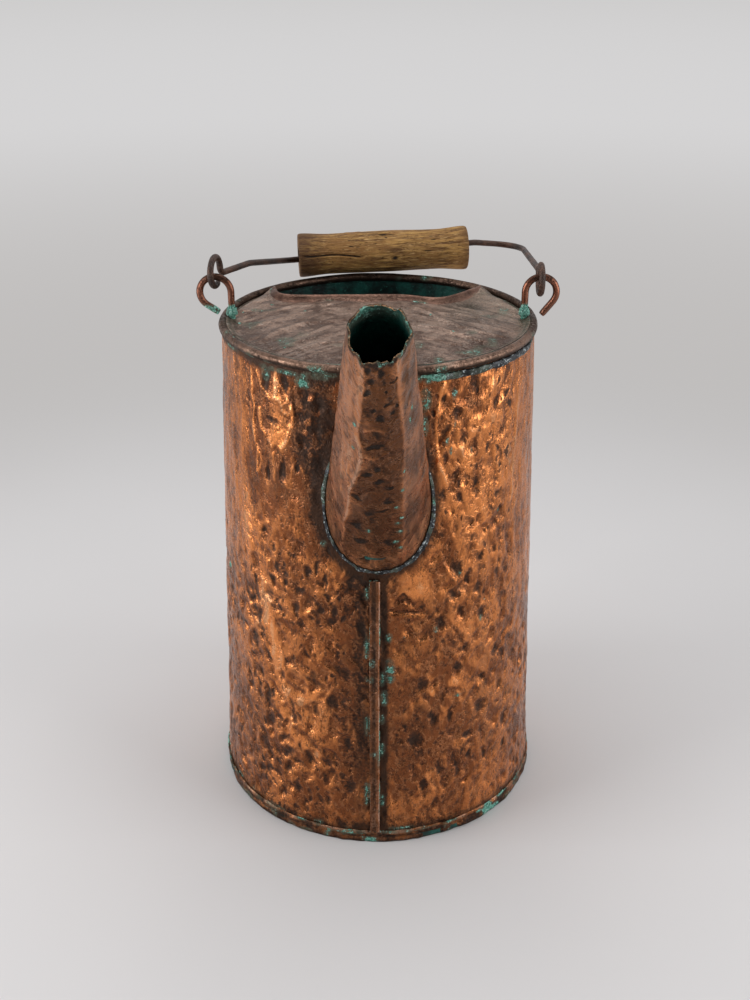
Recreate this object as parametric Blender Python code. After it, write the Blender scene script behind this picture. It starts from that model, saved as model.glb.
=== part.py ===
"""A hammered copper can with a cone spout, a hooded top and a wire bail with a wooden grip.

Metres, +Z up. The origin is the centre of the base's underside, the spout points to -Y and the
bail is folded back to +Y, resting on the rim.
"""
import math

import bmesh
import bpy
from mathutils import Matrix, Vector

# Fits
GAP = 0.0003                # between pieces that touch
BORE_CLEARANCE = 0.0004     # wire to the grip's bore, at the bore's ends
EYE_CLEARANCE = 0.0009      # bail eye to the ear's wire, where they bear

# Can wall and its curled rim
RIM_HEIGHT = 0.3205         # top of the rim above the table
FOOT_RADIUS = 0.1065        # wall, outside, at the table
NECK_RADIUS = 0.0955        # wall, outside, at the rim
SHEET = 0.0010              # copper sheet of every sheet piece
ROLL_DIAMETER = 0.0054      # curled rim, over the sheet
ROLL_PROUD = 0.0019         # curled rim, outside the wall
CURL_END = math.radians(232)

# Base pan and the solder inside it
FLANGE_HEIGHT = 0.0085
PAN_EDGE = 0.0010           # worn lower edge of the pan
BASE_SOLDER_LEG = 0.0030

# Strip over the wall's seam, under the spout
SEAM_WIDTH = 0.0064
SEAM_THICKNESS = 0.0011
SEAM_RIDGE_WIDTH = 0.0014
SEAM_RIDGE_HEIGHT = 0.0006
SEAM_OFFSET = -0.0021       # its middle, beside the can's axis

# Hood let into the rim, and its mouth at the back
HOOD_DROP = 0.0022          # hood's lowest ring below the rim's top
HOOD_LIP_DROP = 0.0005      # hood's turned-up edge below the rim's top
HOOD_LIP_WIDTH = 0.0035
HOOD_CROWN = 0.0020         # rise of the hood's middle over its lowest ring
MOUTH_CORNER = math.radians(49)     # corners, measured from the back
MOUTH_FRONT = (             # plan points of the mouth's front edge, from left to right
    (-0.0600, 0.0362),
    (-0.0240, 0.0350),
    (0.0140, 0.0350),
    (0.0375, 0.0285),
    (0.0530, 0.0390),
)
COLLAR_RISE = 0.0032        # top of the mouth's collar over the rim's top
COLLAR_DEPTH = 0.0025       # foot of the collar under the hood's lowest ring

# Spout: a straight cone, cut square at its tip
SPOUT_LEAN = math.radians(38.3)     # from upright, towards the front
SPOUT_DROP = 0.0739         # where its axis meets the wall, below the rim's top
SPOUT_LENGTH = 0.1643       # from the wall to the tip, on the axis
SPOUT_FOOT_RADIUS = 0.0296  # outside, where its axis meets the wall
SPOUT_TIP_RADIUS = 0.0152   # outside
SPOUT_SOLDER_WIDTH = 0.0030
SPOUT_SOLDER_THICKNESS = 0.0016

# Solder under the rim, at the front right
RIM_SOLDER_HEIGHT = 0.0045
RIM_SOLDER_THICKNESS = 0.0012
RIM_SOLDER_FROM = math.radians(22)
RIM_SOLDER_TO = math.radians(72)

# Wire ears
EAR_WIRE = 0.0043
EAR_LOOP_RADIUS = 0.0095    # middle of the wire
EAR_LIFT = 0.0144           # middle of the loop over the rim's top
EAR_TANG = 0.0260           # leg inside the can, below the rim's top
EAR_JOG_TOP = 0.0065        # where the leg turns out to the wall, below the rim's top
EAR_JOG_BOTTOM = 0.0130
LEFT_EAR_TURN = math.radians(56)    # how far the loop runs on past its outermost point
LEFT_EAR_TAIL = 0.0086
RIGHT_EAR_TURN = math.radians(38)
RIGHT_EAR_TAIL = 0.0105
EAR_SOLDER_HEIGHT = 0.0052
EAR_SOLDER_WIDTH = 0.0016   # round the ear's wire, at the solder's foot

# Bail
BAIL_WIRE = 0.0042
EYE_RADIUS = 0.0086         # middle of the wire
EYE_SWEEP = math.radians(300)
EYE_BEND = 0.0034           # from the eye's back down, or up, to the bend into the arm
EYE_BEND_RADIUS = 0.0032
LEFT_EYE_BEARING = math.radians(50)     # which way the eye's middle lies from the pivot
RIGHT_EYE_BEARING = math.radians(-40)
LEFT_EYE_YAW = math.radians(13)
EYE_SET_IN = 0.0003         # eye's middle, inwards of the ear loop's middle
LEFT_ARM_BOW = 0.0031
ARM_BEND_RADIUS = 0.0180
SHOULDER_OUT = 0.0980       # right shoulder: across, behind the pivot, over the rim's top
SHOULDER_BACK = 0.1085
SHOULDER_LIFT = 0.0157
SHOULDER_RADIUS = 0.0090
WIRE_STUB = 0.0060          # straight wire beyond each end of the grip
WIRE_LEAN = 0.0028          # wire below and above the grip's axis, at its two ends

# Wooden grip
GRIP_LENGTH = 0.1142
GRIP_END_RADIUS = 0.0150
GRIP_NECK_RADIUS = 0.0137
GRIP_BELLY_RADIUS = 0.0141
GRIP_NECK_INSET = 0.0210
GRIP_EDGE = 0.0008
GRIP_SHIFT = 0.0033         # its middle, to the right of the can's axis
GRIP_REACH = 0.0975         # its middle, behind the pivot
GRIP_YAW = math.radians(6.2)    # right end further back
GRIP_TILT = math.radians(1.15)  # right end higher

# Facets
TURNS = 64                  # round the can
SPOUT_TURNS = 36
GRIP_TURNS = 28
LOOP_STEP = math.radians(15)
WIRE_FACETS = 2             # bevel resolution of the wires

# Colours (linear) of the finishes
COPPER = (0.30, 0.095, 0.035, 1.0)
DARK_COPPER = (0.16, 0.065, 0.040, 1.0)
DULL_COPPER = (0.17, 0.115, 0.085, 1.0)
SOLDER = (0.18, 0.19, 0.20, 1.0)
GREEN_SOLDER = (0.20, 0.38, 0.32, 1.0)
IRON = (0.075, 0.055, 0.048, 1.0)
OLD_WOOD = (0.24, 0.135, 0.055, 1.0)

# Places that follow from the sizes above
SLOPE = (FOOT_RADIUS - NECK_RADIUS) / RIM_HEIGHT
ROLL_RADIUS = ROLL_DIAMETER / 2
ROLL_HEIGHT = RIM_HEIGHT - ROLL_RADIUS
ROLL_CENTRE = FOOT_RADIUS - SLOPE * ROLL_HEIGHT + ROLL_PROUD - ROLL_RADIUS
ROLL_INSIDE = ROLL_CENTRE - ROLL_RADIUS
WALL_FOOT = SHEET + GAP
HOOD_RADIUS = ROLL_INSIDE - GAP
SPOUT_HEIGHT = RIM_HEIGHT - SPOUT_DROP
TAPER = (SPOUT_FOOT_RADIUS - SPOUT_TIP_RADIUS) / SPOUT_LENGTH
EAR_LEG = ROLL_INSIDE - GAP - EAR_WIRE / 2
EAR_MIDDLE = EAR_LEG + EAR_LOOP_RADIUS
PIVOT_HEIGHT = RIM_HEIGHT + EAR_LIFT + EAR_LOOP_RADIUS
EYE_PLAY = EYE_RADIUS - (BAIL_WIRE + EAR_WIRE) / 2 - EYE_CLEARANCE
GRIP_BORE_RADIUS = WIRE_LEAN + BAIL_WIRE / 2 + BORE_CLEARANCE


def wall_radius(height):
    """Outside radius of the wall at a height."""
    return FOOT_RADIUS - SLOPE * height


def finish(name, colour, roughness, metallic):
    """A plain finish for one sub-part."""
    material = bpy.data.materials.new(name)
    material.use_nodes = True
    shader = material.node_tree.nodes["Principled BSDF"]
    shader.inputs["Base Color"].default_value = colour
    shader.inputs["Roughness"].default_value = roughness
    shader.inputs["Metallic"].default_value = metallic
    return material


def place(name, data, material):
    """Put a mesh or curve into the scene as a named object with its finish."""
    item = bpy.data.objects.new(name, data)
    bpy.context.scene.collection.objects.link(item)
    if material is not None:
        data.materials.append(material)
    return item


def solid_mesh(name, shape, smooth=True):
    """Turn a closed bmesh into a mesh whose faces point out."""
    bmesh.ops.recalc_face_normals(shape, faces=shape.faces)
    mesh = bpy.data.meshes.new(name)
    shape.to_mesh(mesh)
    shape.free()
    if smooth:
        mesh.shade_smooth()
        mesh.set_sharp_from_angle(angle=math.radians(35))
    return mesh


def turned(name, profile, turns=TURNS, start=0.0, sweep=math.tau):
    """Turn a closed profile of (radius, height) points about +Z.

    Angles run from the front (-Y) towards the right (+X). A part turn gets flat ends.
    """
    shape = bmesh.new()
    whole = math.isclose(sweep, math.tau)
    stations = turns if whole else turns + 1
    axis_points = {}
    rings = []
    for station in range(stations):
        angle = start + sweep * station / turns
        ring = []
        for index, (radius, height) in enumerate(profile):
            if radius == 0.0:
                if index not in axis_points:
                    axis_points[index] = shape.verts.new((0.0, 0.0, height))
                ring.append(axis_points[index])
                continue
            spot = (radius * math.sin(angle), -radius * math.cos(angle), height)
            ring.append(shape.verts.new(spot))
        rings.append(ring)
    for station in range(turns):
        here = rings[station]
        there = rings[(station + 1) % stations]
        for index in range(len(profile)):
            after = (index + 1) % len(profile)
            corners = list(dict.fromkeys((here[index], here[after], there[after], there[index])))
            if len(corners) > 2:
                shape.faces.new(corners)
    if not whole:
        shape.faces.new(rings[0])
        shape.faces.new(rings[-1])
    return solid_mesh(name, shape)


def prism(name, outline, low, high):
    """A closed plan outline drawn up from one height to another."""
    shape = bmesh.new()
    floor = [shape.verts.new((x, y, low)) for x, y in outline]
    roof = [shape.verts.new((x, y, high)) for x, y in outline]
    shape.faces.new(floor)
    shape.faces.new(roof)
    count = len(outline)
    for index in range(count):
        after = (index + 1) % count
        shape.faces.new((floor[index], floor[after], roof[after], roof[index]))
    return solid_mesh(name, shape, smooth=False)


def wire(name, points, diameter, material, origin=(0.0, 0.0, 0.0)):
    """A round wire along points, with flat ends. Points are world places, less the origin."""
    curve = bpy.data.curves.new(name, "CURVE")
    curve.dimensions = "3D"
    curve.bevel_depth = diameter / 2
    curve.bevel_resolution = WIRE_FACETS
    curve.use_fill_caps = True
    spline = curve.splines.new("POLY")
    spline.points.add(len(points) - 1)
    for point, spot in zip(spline.points, points):
        local = Vector(spot) - Vector(origin)
        point.co = (local.x, local.y, local.z, 1.0)
    spline.use_smooth = True
    item = place(name, curve, material)
    item.location = origin
    return item


def cutter(name, mesh):
    """A hidden shape that only cuts other pieces."""
    item = place(name, mesh, None)
    item.hide_render = True
    item.display_type = "WIRE"
    return item


def trim(item, tool, operation="DIFFERENCE"):
    """Cut a piece with another shape, or keep only what they share."""
    modifier = item.modifiers.new(tool.name, "BOOLEAN")
    modifier.operation = operation
    modifier.object = tool


def arc(middle, radius, start, end, steps):
    """Points of a flat arc as (across, up) pairs, both ends included."""
    points = []
    for step in range(steps + 1):
        angle = start + (end - start) * step / steps
        points.append((middle[0] + radius * math.cos(angle), middle[1] + radius * math.sin(angle)))
    return points


def through(points, steps):
    """A smooth plan curve through points."""
    spots = [Vector(point) for point in points]
    before = [2 * spots[0] - spots[1]] + spots
    after = spots + [2 * spots[-1] - spots[-2]]
    curve = []
    for index in range(len(spots) - 1):
        start, end = spots[index], spots[index + 1]
        leave = (end - before[index]) / 2
        arrive = (after[index + 2] - start) / 2
        for step in range(steps):
            t = step / steps
            curve.append(
                start * (2 * t**3 - 3 * t**2 + 1)
                + leave * (t**3 - 2 * t**2 + t)
                + end * (3 * t**2 - 2 * t**3)
                + arrive * (t**3 - t**2)
            )
    curve.append(spots[-1])
    return curve


def bent(corners, radii, steps=5):
    """A wire's route through corners, each but the ends bent to its radius."""
    route = [corners[0]]
    for index in range(1, len(corners) - 1):
        corner = corners[index]
        back = (corners[index - 1] - corner).normalized()
        on = (corners[index + 1] - corner).normalized()
        half = back.angle(on) / 2
        reach = radii[index - 1] / math.tan(half)
        middle = corner + (back + on).normalized() * (radii[index - 1] / math.sin(half))
        first = corner + back * reach - middle
        last = corner + on * reach - middle
        for step in range(steps + 1):
            route.append(middle + first.slerp(last, step / steps) * radii[index - 1])
    route.append(corners[-1])
    return route


def roll_arc(radius, start, end, steps):
    """Points on a circle about the middle of the rim's roll."""
    return arc((ROLL_CENTRE, ROLL_HEIGHT), radius, start, end, steps)


def roll_meets(offset, radius):
    """Angle, under the roll, where a face inside the wall's outside by offset meets a circle."""
    across = FOOT_RADIUS - SLOPE * (ROLL_HEIGHT - radius) - offset - ROLL_CENTRE
    return -math.acos(across / radius)


def make_body_wall(material):
    """The flared wall, with its top edge curled round the rim wire."""
    inside = ROLL_RADIUS - SHEET
    profile = [(wall_radius(WALL_FOOT), WALL_FOOT)]
    profile += roll_arc(ROLL_RADIUS, roll_meets(0.0, ROLL_RADIUS), CURL_END, 14)
    profile += roll_arc(inside, CURL_END, roll_meets(SHEET, inside), 14)
    profile.append((wall_radius(WALL_FOOT) - SHEET, WALL_FOOT))
    return place("body_wall", turned("body_wall", profile), material)


def make_rim_wire(material):
    """The wire inside the curled rim."""
    circle = roll_arc(ROLL_RADIUS - SHEET - GAP, 0.0, math.tau, 8)[:-1]
    return place("rim_wire", turned("rim_wire", circle), material)


def make_base_pan(material):
    """The bottom disc, turned up round the wall's foot."""
    outside = wall_radius(0.0) + GAP + SHEET
    profile = [
        (0.0, 0.0),
        (outside - PAN_EDGE, 0.0),
        (outside, PAN_EDGE),
        (wall_radius(FLANGE_HEIGHT) + GAP + SHEET, FLANGE_HEIGHT),
        (wall_radius(FLANGE_HEIGHT) + GAP, FLANGE_HEIGHT),
        (wall_radius(SHEET) + GAP, SHEET),
        (0.0, SHEET),
    ]
    return place("base_pan", turned("base_pan", profile), material)


def make_base_solder(material):
    """The fillet that closes the corner inside the base."""
    top = WALL_FOOT + BASE_SOLDER_LEG
    corner = wall_radius(WALL_FOOT) - SHEET - GAP
    profile = [
        (corner, WALL_FOOT),
        (wall_radius(top) - SHEET - GAP, top),
        (corner - BASE_SOLDER_LEG, WALL_FOOT),
    ]
    return place("base_solder_seam", turned("base_solder_seam", profile), material)


def make_seam_strip(material):
    """The raised strip with a ridge along each edge, from the base's flange to the spout."""
    half = SEAM_WIDTH / 2
    ridge = SEAM_THICKNESS + SEAM_RIDGE_HEIGHT
    section = [
        (-half, 0.0),
        (-half, SEAM_THICKNESS),
        (-half + SEAM_RIDGE_WIDTH / 2, ridge),
        (-half + SEAM_RIDGE_WIDTH, SEAM_THICKNESS),
        (half - SEAM_RIDGE_WIDTH, SEAM_THICKNESS),
        (half - SEAM_RIDGE_WIDTH / 2, ridge),
        (half, SEAM_THICKNESS),
        (half, 0.0),
    ]
    low = FLANGE_HEIGHT + GAP
    high = spout_foot_height(-1, SPOUT_SOLDER_WIDTH) - GAP
    shape = bmesh.new()
    ends = []
    for height in (low, high):
        face = wall_radius(height) + GAP
        ring = [shape.verts.new((SEAM_OFFSET + x, -face - out, height)) for x, out in section]
        shape.faces.new(ring)
        ends.append(ring)
    count = len(section)
    for index in range(count):
        after = (index + 1) % count
        shape.faces.new((ends[0][index], ends[0][after], ends[1][after], ends[1][index]))
    return place("side_seam_strip", solid_mesh("side_seam_strip", shape, smooth=False), material)


def make_rim_solder(material):
    """The smeared band of solder between the wall and the underside of the rim."""
    top = ROLL_HEIGHT + ROLL_RADIUS * math.sin(roll_meets(0.0, ROLL_RADIUS)) - GAP
    low = top - RIM_SOLDER_HEIGHT
    profile = [
        (wall_radius(low) + GAP, low),
        (wall_radius(top) + GAP + RIM_SOLDER_THICKNESS, top - RIM_SOLDER_THICKNESS),
        (wall_radius(top) + GAP, top - RIM_SOLDER_THICKNESS / 2),
    ]
    sweep = RIM_SOLDER_TO - RIM_SOLDER_FROM
    turns = round(TURNS * sweep / math.tau)
    mesh = turned("rim_solder", profile, turns, RIM_SOLDER_FROM, sweep)
    return place("rim_solder", mesh, material)


def mouth_edge():
    """The mouth's front edge in plan, from its left corner to its right one."""
    across = HOOD_RADIUS * math.sin(MOUTH_CORNER)
    back = HOOD_RADIUS * math.cos(MOUTH_CORNER)
    return through([(-across, back), *MOUTH_FRONT, (across, back)], 5)


def shifted(path, distance):
    """A plan path moved towards its left side by a distance."""
    moved = []
    for index, spot in enumerate(path):
        ahead = path[min(index + 1, len(path) - 1)]
        behind = path[max(index - 1, 0)]
        along = (ahead - behind).normalized()
        moved.append(spot + Vector((-along.y, along.x)) * distance)
    return moved


def make_hood(material):
    """The sheet let into the rim: a low crown, a turned-up edge, and the mouth cut at the back."""
    valley = HOOD_RADIUS - HOOD_LIP_WIDTH
    low = RIM_HEIGHT - HOOD_DROP
    over = [(0.0, low + HOOD_CROWN)]
    for share in (0.3, 0.55, 0.8, 1.0):
        over.append((valley * share, low + HOOD_CROWN * (1.0 - share**2)))
    over.append((HOOD_RADIUS, RIM_HEIGHT - HOOD_LIP_DROP))
    under = [(radius, height - SHEET) for radius, height in reversed(over)]
    hood = place("top_hood", turned("top_hood", over + under), material)

    edge = mouth_edge()
    run_in = edge[0] + (edge[0] - edge[1]).normalized() * HOOD_LIP_WIDTH
    run_out = edge[-1] + (edge[-1] - edge[-2]).normalized() * HOOD_LIP_WIDTH
    behind = 2 * HOOD_RADIUS
    outline = [run_in, *edge, run_out, Vector((run_out.x, behind)), Vector((run_in.x, behind))]
    reach = HOOD_DROP + HOOD_CROWN + SHEET
    trim(hood, cutter("mouth_cut", prism("mouth_cut", outline, RIM_HEIGHT - reach, RIM_HEIGHT + reach)))
    for side, name in ((-1, "left_ear_notch"), (1, "right_ear_notch")):
        radius = EAR_WIRE / 2 + GAP
        profile = [(0.0, -reach), (radius, -reach), (radius, reach), (0.0, reach)]
        notch = cutter(name, turned(name, profile, turns=16))
        notch.location = (side * EAR_LEG, 0.0, RIM_HEIGHT)
        trim(hood, notch)
    return hood


def make_collar(material):
    """The upright band that stiffens the mouth's front edge."""
    front = shifted(mouth_edge(), GAP)
    back = shifted(mouth_edge(), GAP + SHEET)
    low = RIM_HEIGHT - HOOD_DROP - COLLAR_DEPTH
    high = RIM_HEIGHT + COLLAR_RISE
    outline = front + back[::-1]
    return place("mouth_collar", prism("mouth_collar", outline, low, high), material)


def spout_radius(station):
    """Outside radius of the spout at a station on its axis."""
    return SPOUT_FOOT_RADIUS - TAPER * station


def foot_station(side, around=0.0):
    """Where, along the spout's axis, its upper (1) or lower (-1) side meets the wall.

    Around sets the side out from the spout's outside.
    """
    cosine = math.cos(SPOUT_LEAN)
    sine = math.sin(SPOUT_LEAN)
    facing = cosine - SLOPE * sine
    radius = spout_radius(0.0) + around
    return side * radius * facing / (sine + SLOPE * cosine + side * TAPER * facing)


def spout_foot_height(side, around=0.0):
    """Height at which the spout's upper or lower side, set out by around, meets the wall."""
    station = foot_station(side, around)
    along = station * math.cos(SPOUT_LEAN)
    return SPOUT_HEIGHT + along + side * (spout_radius(station) + around) * math.sin(SPOUT_LEAN)


def set_on_wall(item):
    """Stand a piece of the spout on the point where the spout's axis meets the wall."""
    item.location = (0.0, -wall_radius(SPOUT_HEIGHT), SPOUT_HEIGHT)
    item.rotation_euler = (SPOUT_LEAN, 0.0, 0.0)


def spout_tube(name, outer, inner, start, end):
    """A tapering tube that follows the spout, its two faces set out from the spout's outside."""
    profile = [
        (spout_radius(start) + outer, start),
        (spout_radius(end) + outer, end),
        (spout_radius(end) + inner, end),
        (spout_radius(start) + inner, start),
    ]
    return turned(name, profile, turns=SPOUT_TURNS)


def wall_shell(name, inner, outer, low, high):
    """A tapering tube that follows the wall, its two faces set out from the wall's outside."""
    profile = [
        (wall_radius(low) + outer, low),
        (wall_radius(high) + outer, high),
        (wall_radius(high) + inner, high),
        (wall_radius(low) + inner, low),
    ]
    return turned(name, profile)


def make_spout(material, solder, body_wall):
    """The cone, cut to the wall at its foot, its bead of solder, and the hole behind it."""
    root = foot_station(-1, SPOUT_SOLDER_WIDTH) - SPOUT_TIP_RADIUS
    spout = place("spout_cone", spout_tube("spout_cone", 0.0, -SHEET, root, SPOUT_LENGTH), material)
    set_on_wall(spout)
    core = [
        (0.0, 0.0),
        (wall_radius(0.0) + GAP, 0.0),
        (wall_radius(RIM_HEIGHT) + GAP, RIM_HEIGHT),
        (0.0, RIM_HEIGHT),
    ]
    trim(spout, cutter("can_outside", turned("can_outside", core)))

    bore = [
        (0.0, root),
        (spout_radius(root) - SHEET, root),
        (spout_radius(SPOUT_LENGTH) - SHEET, SPOUT_LENGTH),
        (0.0, SPOUT_LENGTH),
    ]
    hole = cutter("spout_bore", turned("spout_bore", bore, turns=SPOUT_TURNS))
    set_on_wall(hole)
    trim(body_wall, hole)

    end = foot_station(1, SPOUT_SOLDER_WIDTH) + SPOUT_TIP_RADIUS
    bead = place("spout_solder", spout_tube("spout_solder", SPOUT_SOLDER_WIDTH, GAP, root, end), solder)
    set_on_wall(bead)
    low = spout_foot_height(-1, SPOUT_SOLDER_WIDTH) - SPOUT_TIP_RADIUS
    high = spout_foot_height(1, SPOUT_SOLDER_WIDTH) + SPOUT_TIP_RADIUS
    band = wall_shell("solder_band", GAP, GAP + SPOUT_SOLDER_THICKNESS, low, high)
    trim(bead, cutter("solder_band", band), "INTERSECT")


def ear_route(side, turn, tail):
    """The wire of one ear: up the inside of the can, round its loop, and a straight tail."""
    tang = wall_radius(RIM_HEIGHT - EAR_JOG_BOTTOM) - SHEET - GAP - EAR_WIRE / 2
    middle = (EAR_MIDDLE, RIM_HEIGHT + EAR_LIFT)
    flat = [
        (tang, RIM_HEIGHT - EAR_TANG),
        (tang, RIM_HEIGHT - EAR_JOG_BOTTOM),
        (EAR_LEG, RIM_HEIGHT - EAR_JOG_TOP),
    ]
    flat += arc(middle, EAR_LOOP_RADIUS, math.pi, -turn, round((math.pi + turn) / LOOP_STEP))
    across, up = flat[-1]
    flat.append((across - tail * math.sin(turn), up - tail * math.cos(turn)))
    return [(side * across, 0.0, up) for across, up in flat]


def make_ears(material, solder):
    """Both wire ears with the collars of solder at their roots."""
    settings = (
        ("left_ear", -1, LEFT_EAR_TURN, LEFT_EAR_TAIL),
        ("right_ear", 1, RIGHT_EAR_TURN, RIGHT_EAR_TAIL),
    )
    for name, side, turn, tail in settings:
        wire(name, ear_route(side, turn, tail), EAR_WIRE, material)
        inside = EAR_WIRE / 2 + GAP
        profile = [
            (inside, GAP),
            (inside + EAR_SOLDER_WIDTH, GAP),
            (inside + EAR_SOLDER_WIDTH / 3, EAR_SOLDER_HEIGHT),
            (inside, EAR_SOLDER_HEIGHT),
        ]
        mesh = turned(name + "_solder", profile, turns=16)
        collar = place(name + "_solder", mesh, solder)
        collar.location = (side * EAR_LEG, 0.0, RIM_HEIGHT)


def grip_radius(station):
    """Radius of the grip at a distance from its middle: flared ends, two necks and a belly."""
    neck = GRIP_LENGTH / 2 - GRIP_NECK_INSET
    if abs(station) < neck:
        share = abs(station) / neck
        inner, outer = GRIP_BELLY_RADIUS, GRIP_NECK_RADIUS
    else:
        share = (abs(station) - neck) / GRIP_NECK_INSET
        inner, outer = GRIP_NECK_RADIUS, GRIP_END_RADIUS
    ease = (1 - math.cos(math.pi * share)) / 2
    return inner + (outer - inner) * ease


def grip_axis():
    """The way the grip points, from its left end to its right one."""
    level = math.cos(GRIP_TILT)
    return Vector((level * math.cos(GRIP_YAW), level * math.sin(GRIP_YAW), math.sin(GRIP_TILT)))


def grip_middle():
    """The middle of the grip where it rests on the back of the rim."""
    axis = grip_axis()
    flat = Vector((GRIP_SHIFT, GRIP_REACH))
    samples = 60
    height = 0.0
    for sample in range(samples + 1):
        station = GRIP_LENGTH * (sample / samples - 0.5)
        spot = flat + station * axis.xy
        beside = spot.length - ROLL_CENTRE
        touch = grip_radius(station) + ROLL_RADIUS + GAP
        if touch > abs(beside):
            lift = math.sqrt(touch**2 - beside**2)
            height = max(height, ROLL_HEIGHT + lift - station * axis.z)
    return Vector((flat.x, flat.y, height))


def eye_spot(side, bearing, yaw, angle):
    """A point of a bail eye: its middle lies off the pivot, so that it hangs on the ear."""
    along = EYE_RADIUS * math.cos(angle)
    across = side * (EAR_MIDDLE - EYE_SET_IN) - side * along * math.sin(yaw)
    back = EYE_PLAY * math.cos(bearing) + along * math.cos(yaw)
    up = PIVOT_HEIGHT + EYE_PLAY * math.sin(bearing) + EYE_RADIUS * math.sin(angle)
    return Vector((across, back, up))


def eye_points(side, bearing, yaw, start, end):
    """The open ring of an eye, from one angle to another, measured from the back upwards."""
    steps = round(abs(end - start) / LOOP_STEP)
    span = end - start
    return [eye_spot(side, bearing, yaw, start + span * step / steps) for step in range(steps + 1)]


def bail_route():
    """The bail's wire: left eye, left arm, the run through the grip, right shoulder, right eye."""
    axis = grip_axis()
    middle = grip_middle()
    lean = Vector((0.0, 0.0, WIRE_LEAN))
    run = (axis * (GRIP_LENGTH / 2) + lean).normalized()
    left_end = middle - axis * (GRIP_LENGTH / 2) - lean - run * WIRE_STUB
    right_end = middle + axis * (GRIP_LENGTH / 2) + lean + run * WIRE_STUB
    left_eye = eye_points(-1, LEFT_EYE_BEARING, LEFT_EYE_YAW, EYE_SWEEP, 0.0)
    right_eye = eye_points(1, RIGHT_EYE_BEARING, 0.0, 0.0, -EYE_SWEEP)
    drop = Vector((0.0, 0.0, EYE_BEND))
    left_bend = left_eye[-1] - drop
    right_bend = right_eye[0] + drop
    bow = left_bend.lerp(left_end, 0.4) + Vector((0.0, 0.0, LEFT_ARM_BOW))
    shoulder = Vector((SHOULDER_OUT, SHOULDER_BACK, RIM_HEIGHT + SHOULDER_LIFT))
    corners = [left_eye[-1], left_bend, bow, left_end, right_end, shoulder, right_bend, right_eye[0]]
    radii = [
        EYE_BEND_RADIUS,
        ARM_BEND_RADIUS,
        ARM_BEND_RADIUS,
        ARM_BEND_RADIUS,
        SHOULDER_RADIUS,
        EYE_BEND_RADIUS,
    ]
    return left_eye[:-1] + bent(corners, radii) + right_eye[1:]


def make_bail(material):
    """The bail's wire, its origin on the line that it swings about."""
    return wire("bail_wire", bail_route(), BAIL_WIRE, material, (0.0, 0.0, PIVOT_HEIGHT))


def make_grip(material, bail):
    """The wooden grip, bored wide for the wire, its origin on the line that it turns about."""
    half = GRIP_LENGTH / 2
    steps = 12
    outside = [(grip_radius(half) - GRIP_EDGE, -half)]
    for step in range(steps + 1):
        station = (half - GRIP_EDGE) * (2 * step / steps - 1)
        outside.append((grip_radius(station), station))
    outside.append((grip_radius(half) - GRIP_EDGE, half))
    profile = outside + [(GRIP_BORE_RADIUS, half), (GRIP_BORE_RADIUS, -half)]
    grip = place("wood_grip", turned("wood_grip", profile, turns=GRIP_TURNS), material)
    grip.parent = bail
    turn = Vector((0.0, 0.0, 1.0)).rotation_difference(grip_axis()).to_matrix().to_4x4()
    grip.matrix_basis = Matrix.Translation(grip_middle() - bail.location) @ turn
    return grip


def main():
    """Clear the scene and build every sub-part."""
    for item in list(bpy.data.objects):
        bpy.data.objects.remove(item, do_unlink=True)

    body_wall = make_body_wall(finish("hammered_copper", COPPER, 0.38, 1.0))
    make_seam_strip(finish("seam_copper", COPPER, 0.42, 1.0))
    make_base_pan(finish("base_copper", COPPER, 0.45, 1.0))
    make_base_solder(finish("base_solder_grey", SOLDER, 0.55, 1.0))
    make_rim_wire(finish("rim_iron", IRON, 0.60, 1.0))
    make_rim_solder(finish("rim_solder_grey", SOLDER, 0.55, 1.0))
    make_hood(finish("dull_hood_copper", DULL_COPPER, 0.60, 1.0))
    make_collar(finish("collar_copper", DARK_COPPER, 0.55, 1.0))
    spout_copper = finish("spout_copper", DARK_COPPER, 0.42, 1.0)
    make_spout(spout_copper, finish("spout_solder_grey", SOLDER, 0.55, 1.0), body_wall)
    make_ears(finish("ear_copper", DARK_COPPER, 0.45, 1.0), finish("green_solder", GREEN_SOLDER, 0.8, 0.0))
    bail = make_bail(finish("old_iron", IRON, 0.50, 1.0))
    make_grip(finish("old_wood", OLD_WOOD, 0.75, 0.0), bail)


main()
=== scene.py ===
"""Looks of an old hammered copper can with a cone spout, a hooded top and a wire bail."""
import itertools
import math
import random

import bpy
import numpy as np
from mathutils import Matrix, Vector


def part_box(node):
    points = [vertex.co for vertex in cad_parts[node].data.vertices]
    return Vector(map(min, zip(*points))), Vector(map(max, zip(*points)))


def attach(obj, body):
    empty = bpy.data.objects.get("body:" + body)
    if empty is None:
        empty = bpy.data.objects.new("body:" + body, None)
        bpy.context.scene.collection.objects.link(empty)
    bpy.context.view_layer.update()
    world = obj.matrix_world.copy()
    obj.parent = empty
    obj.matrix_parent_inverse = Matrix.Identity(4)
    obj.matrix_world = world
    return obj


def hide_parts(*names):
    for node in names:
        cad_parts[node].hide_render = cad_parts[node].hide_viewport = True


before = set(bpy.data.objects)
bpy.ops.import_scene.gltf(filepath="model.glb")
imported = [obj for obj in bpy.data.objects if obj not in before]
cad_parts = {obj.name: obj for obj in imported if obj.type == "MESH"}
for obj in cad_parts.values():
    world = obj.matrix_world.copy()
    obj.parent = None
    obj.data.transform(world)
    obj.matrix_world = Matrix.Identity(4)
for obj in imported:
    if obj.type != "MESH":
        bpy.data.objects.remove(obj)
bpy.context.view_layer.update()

# Sizes of the solids, in metres
GAP = 0.0003
RIM_HEIGHT = 0.3205
FOOT_RADIUS = 0.1065
NECK_RADIUS = 0.0955
SHEET = 0.0010
ROLL_RADIUS = 0.0027
ROLL_PROUD = 0.0019
CURL_END = math.radians(232)
FLANGE_HEIGHT = 0.0085
SEAM_WIDTH = 0.0064
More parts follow.
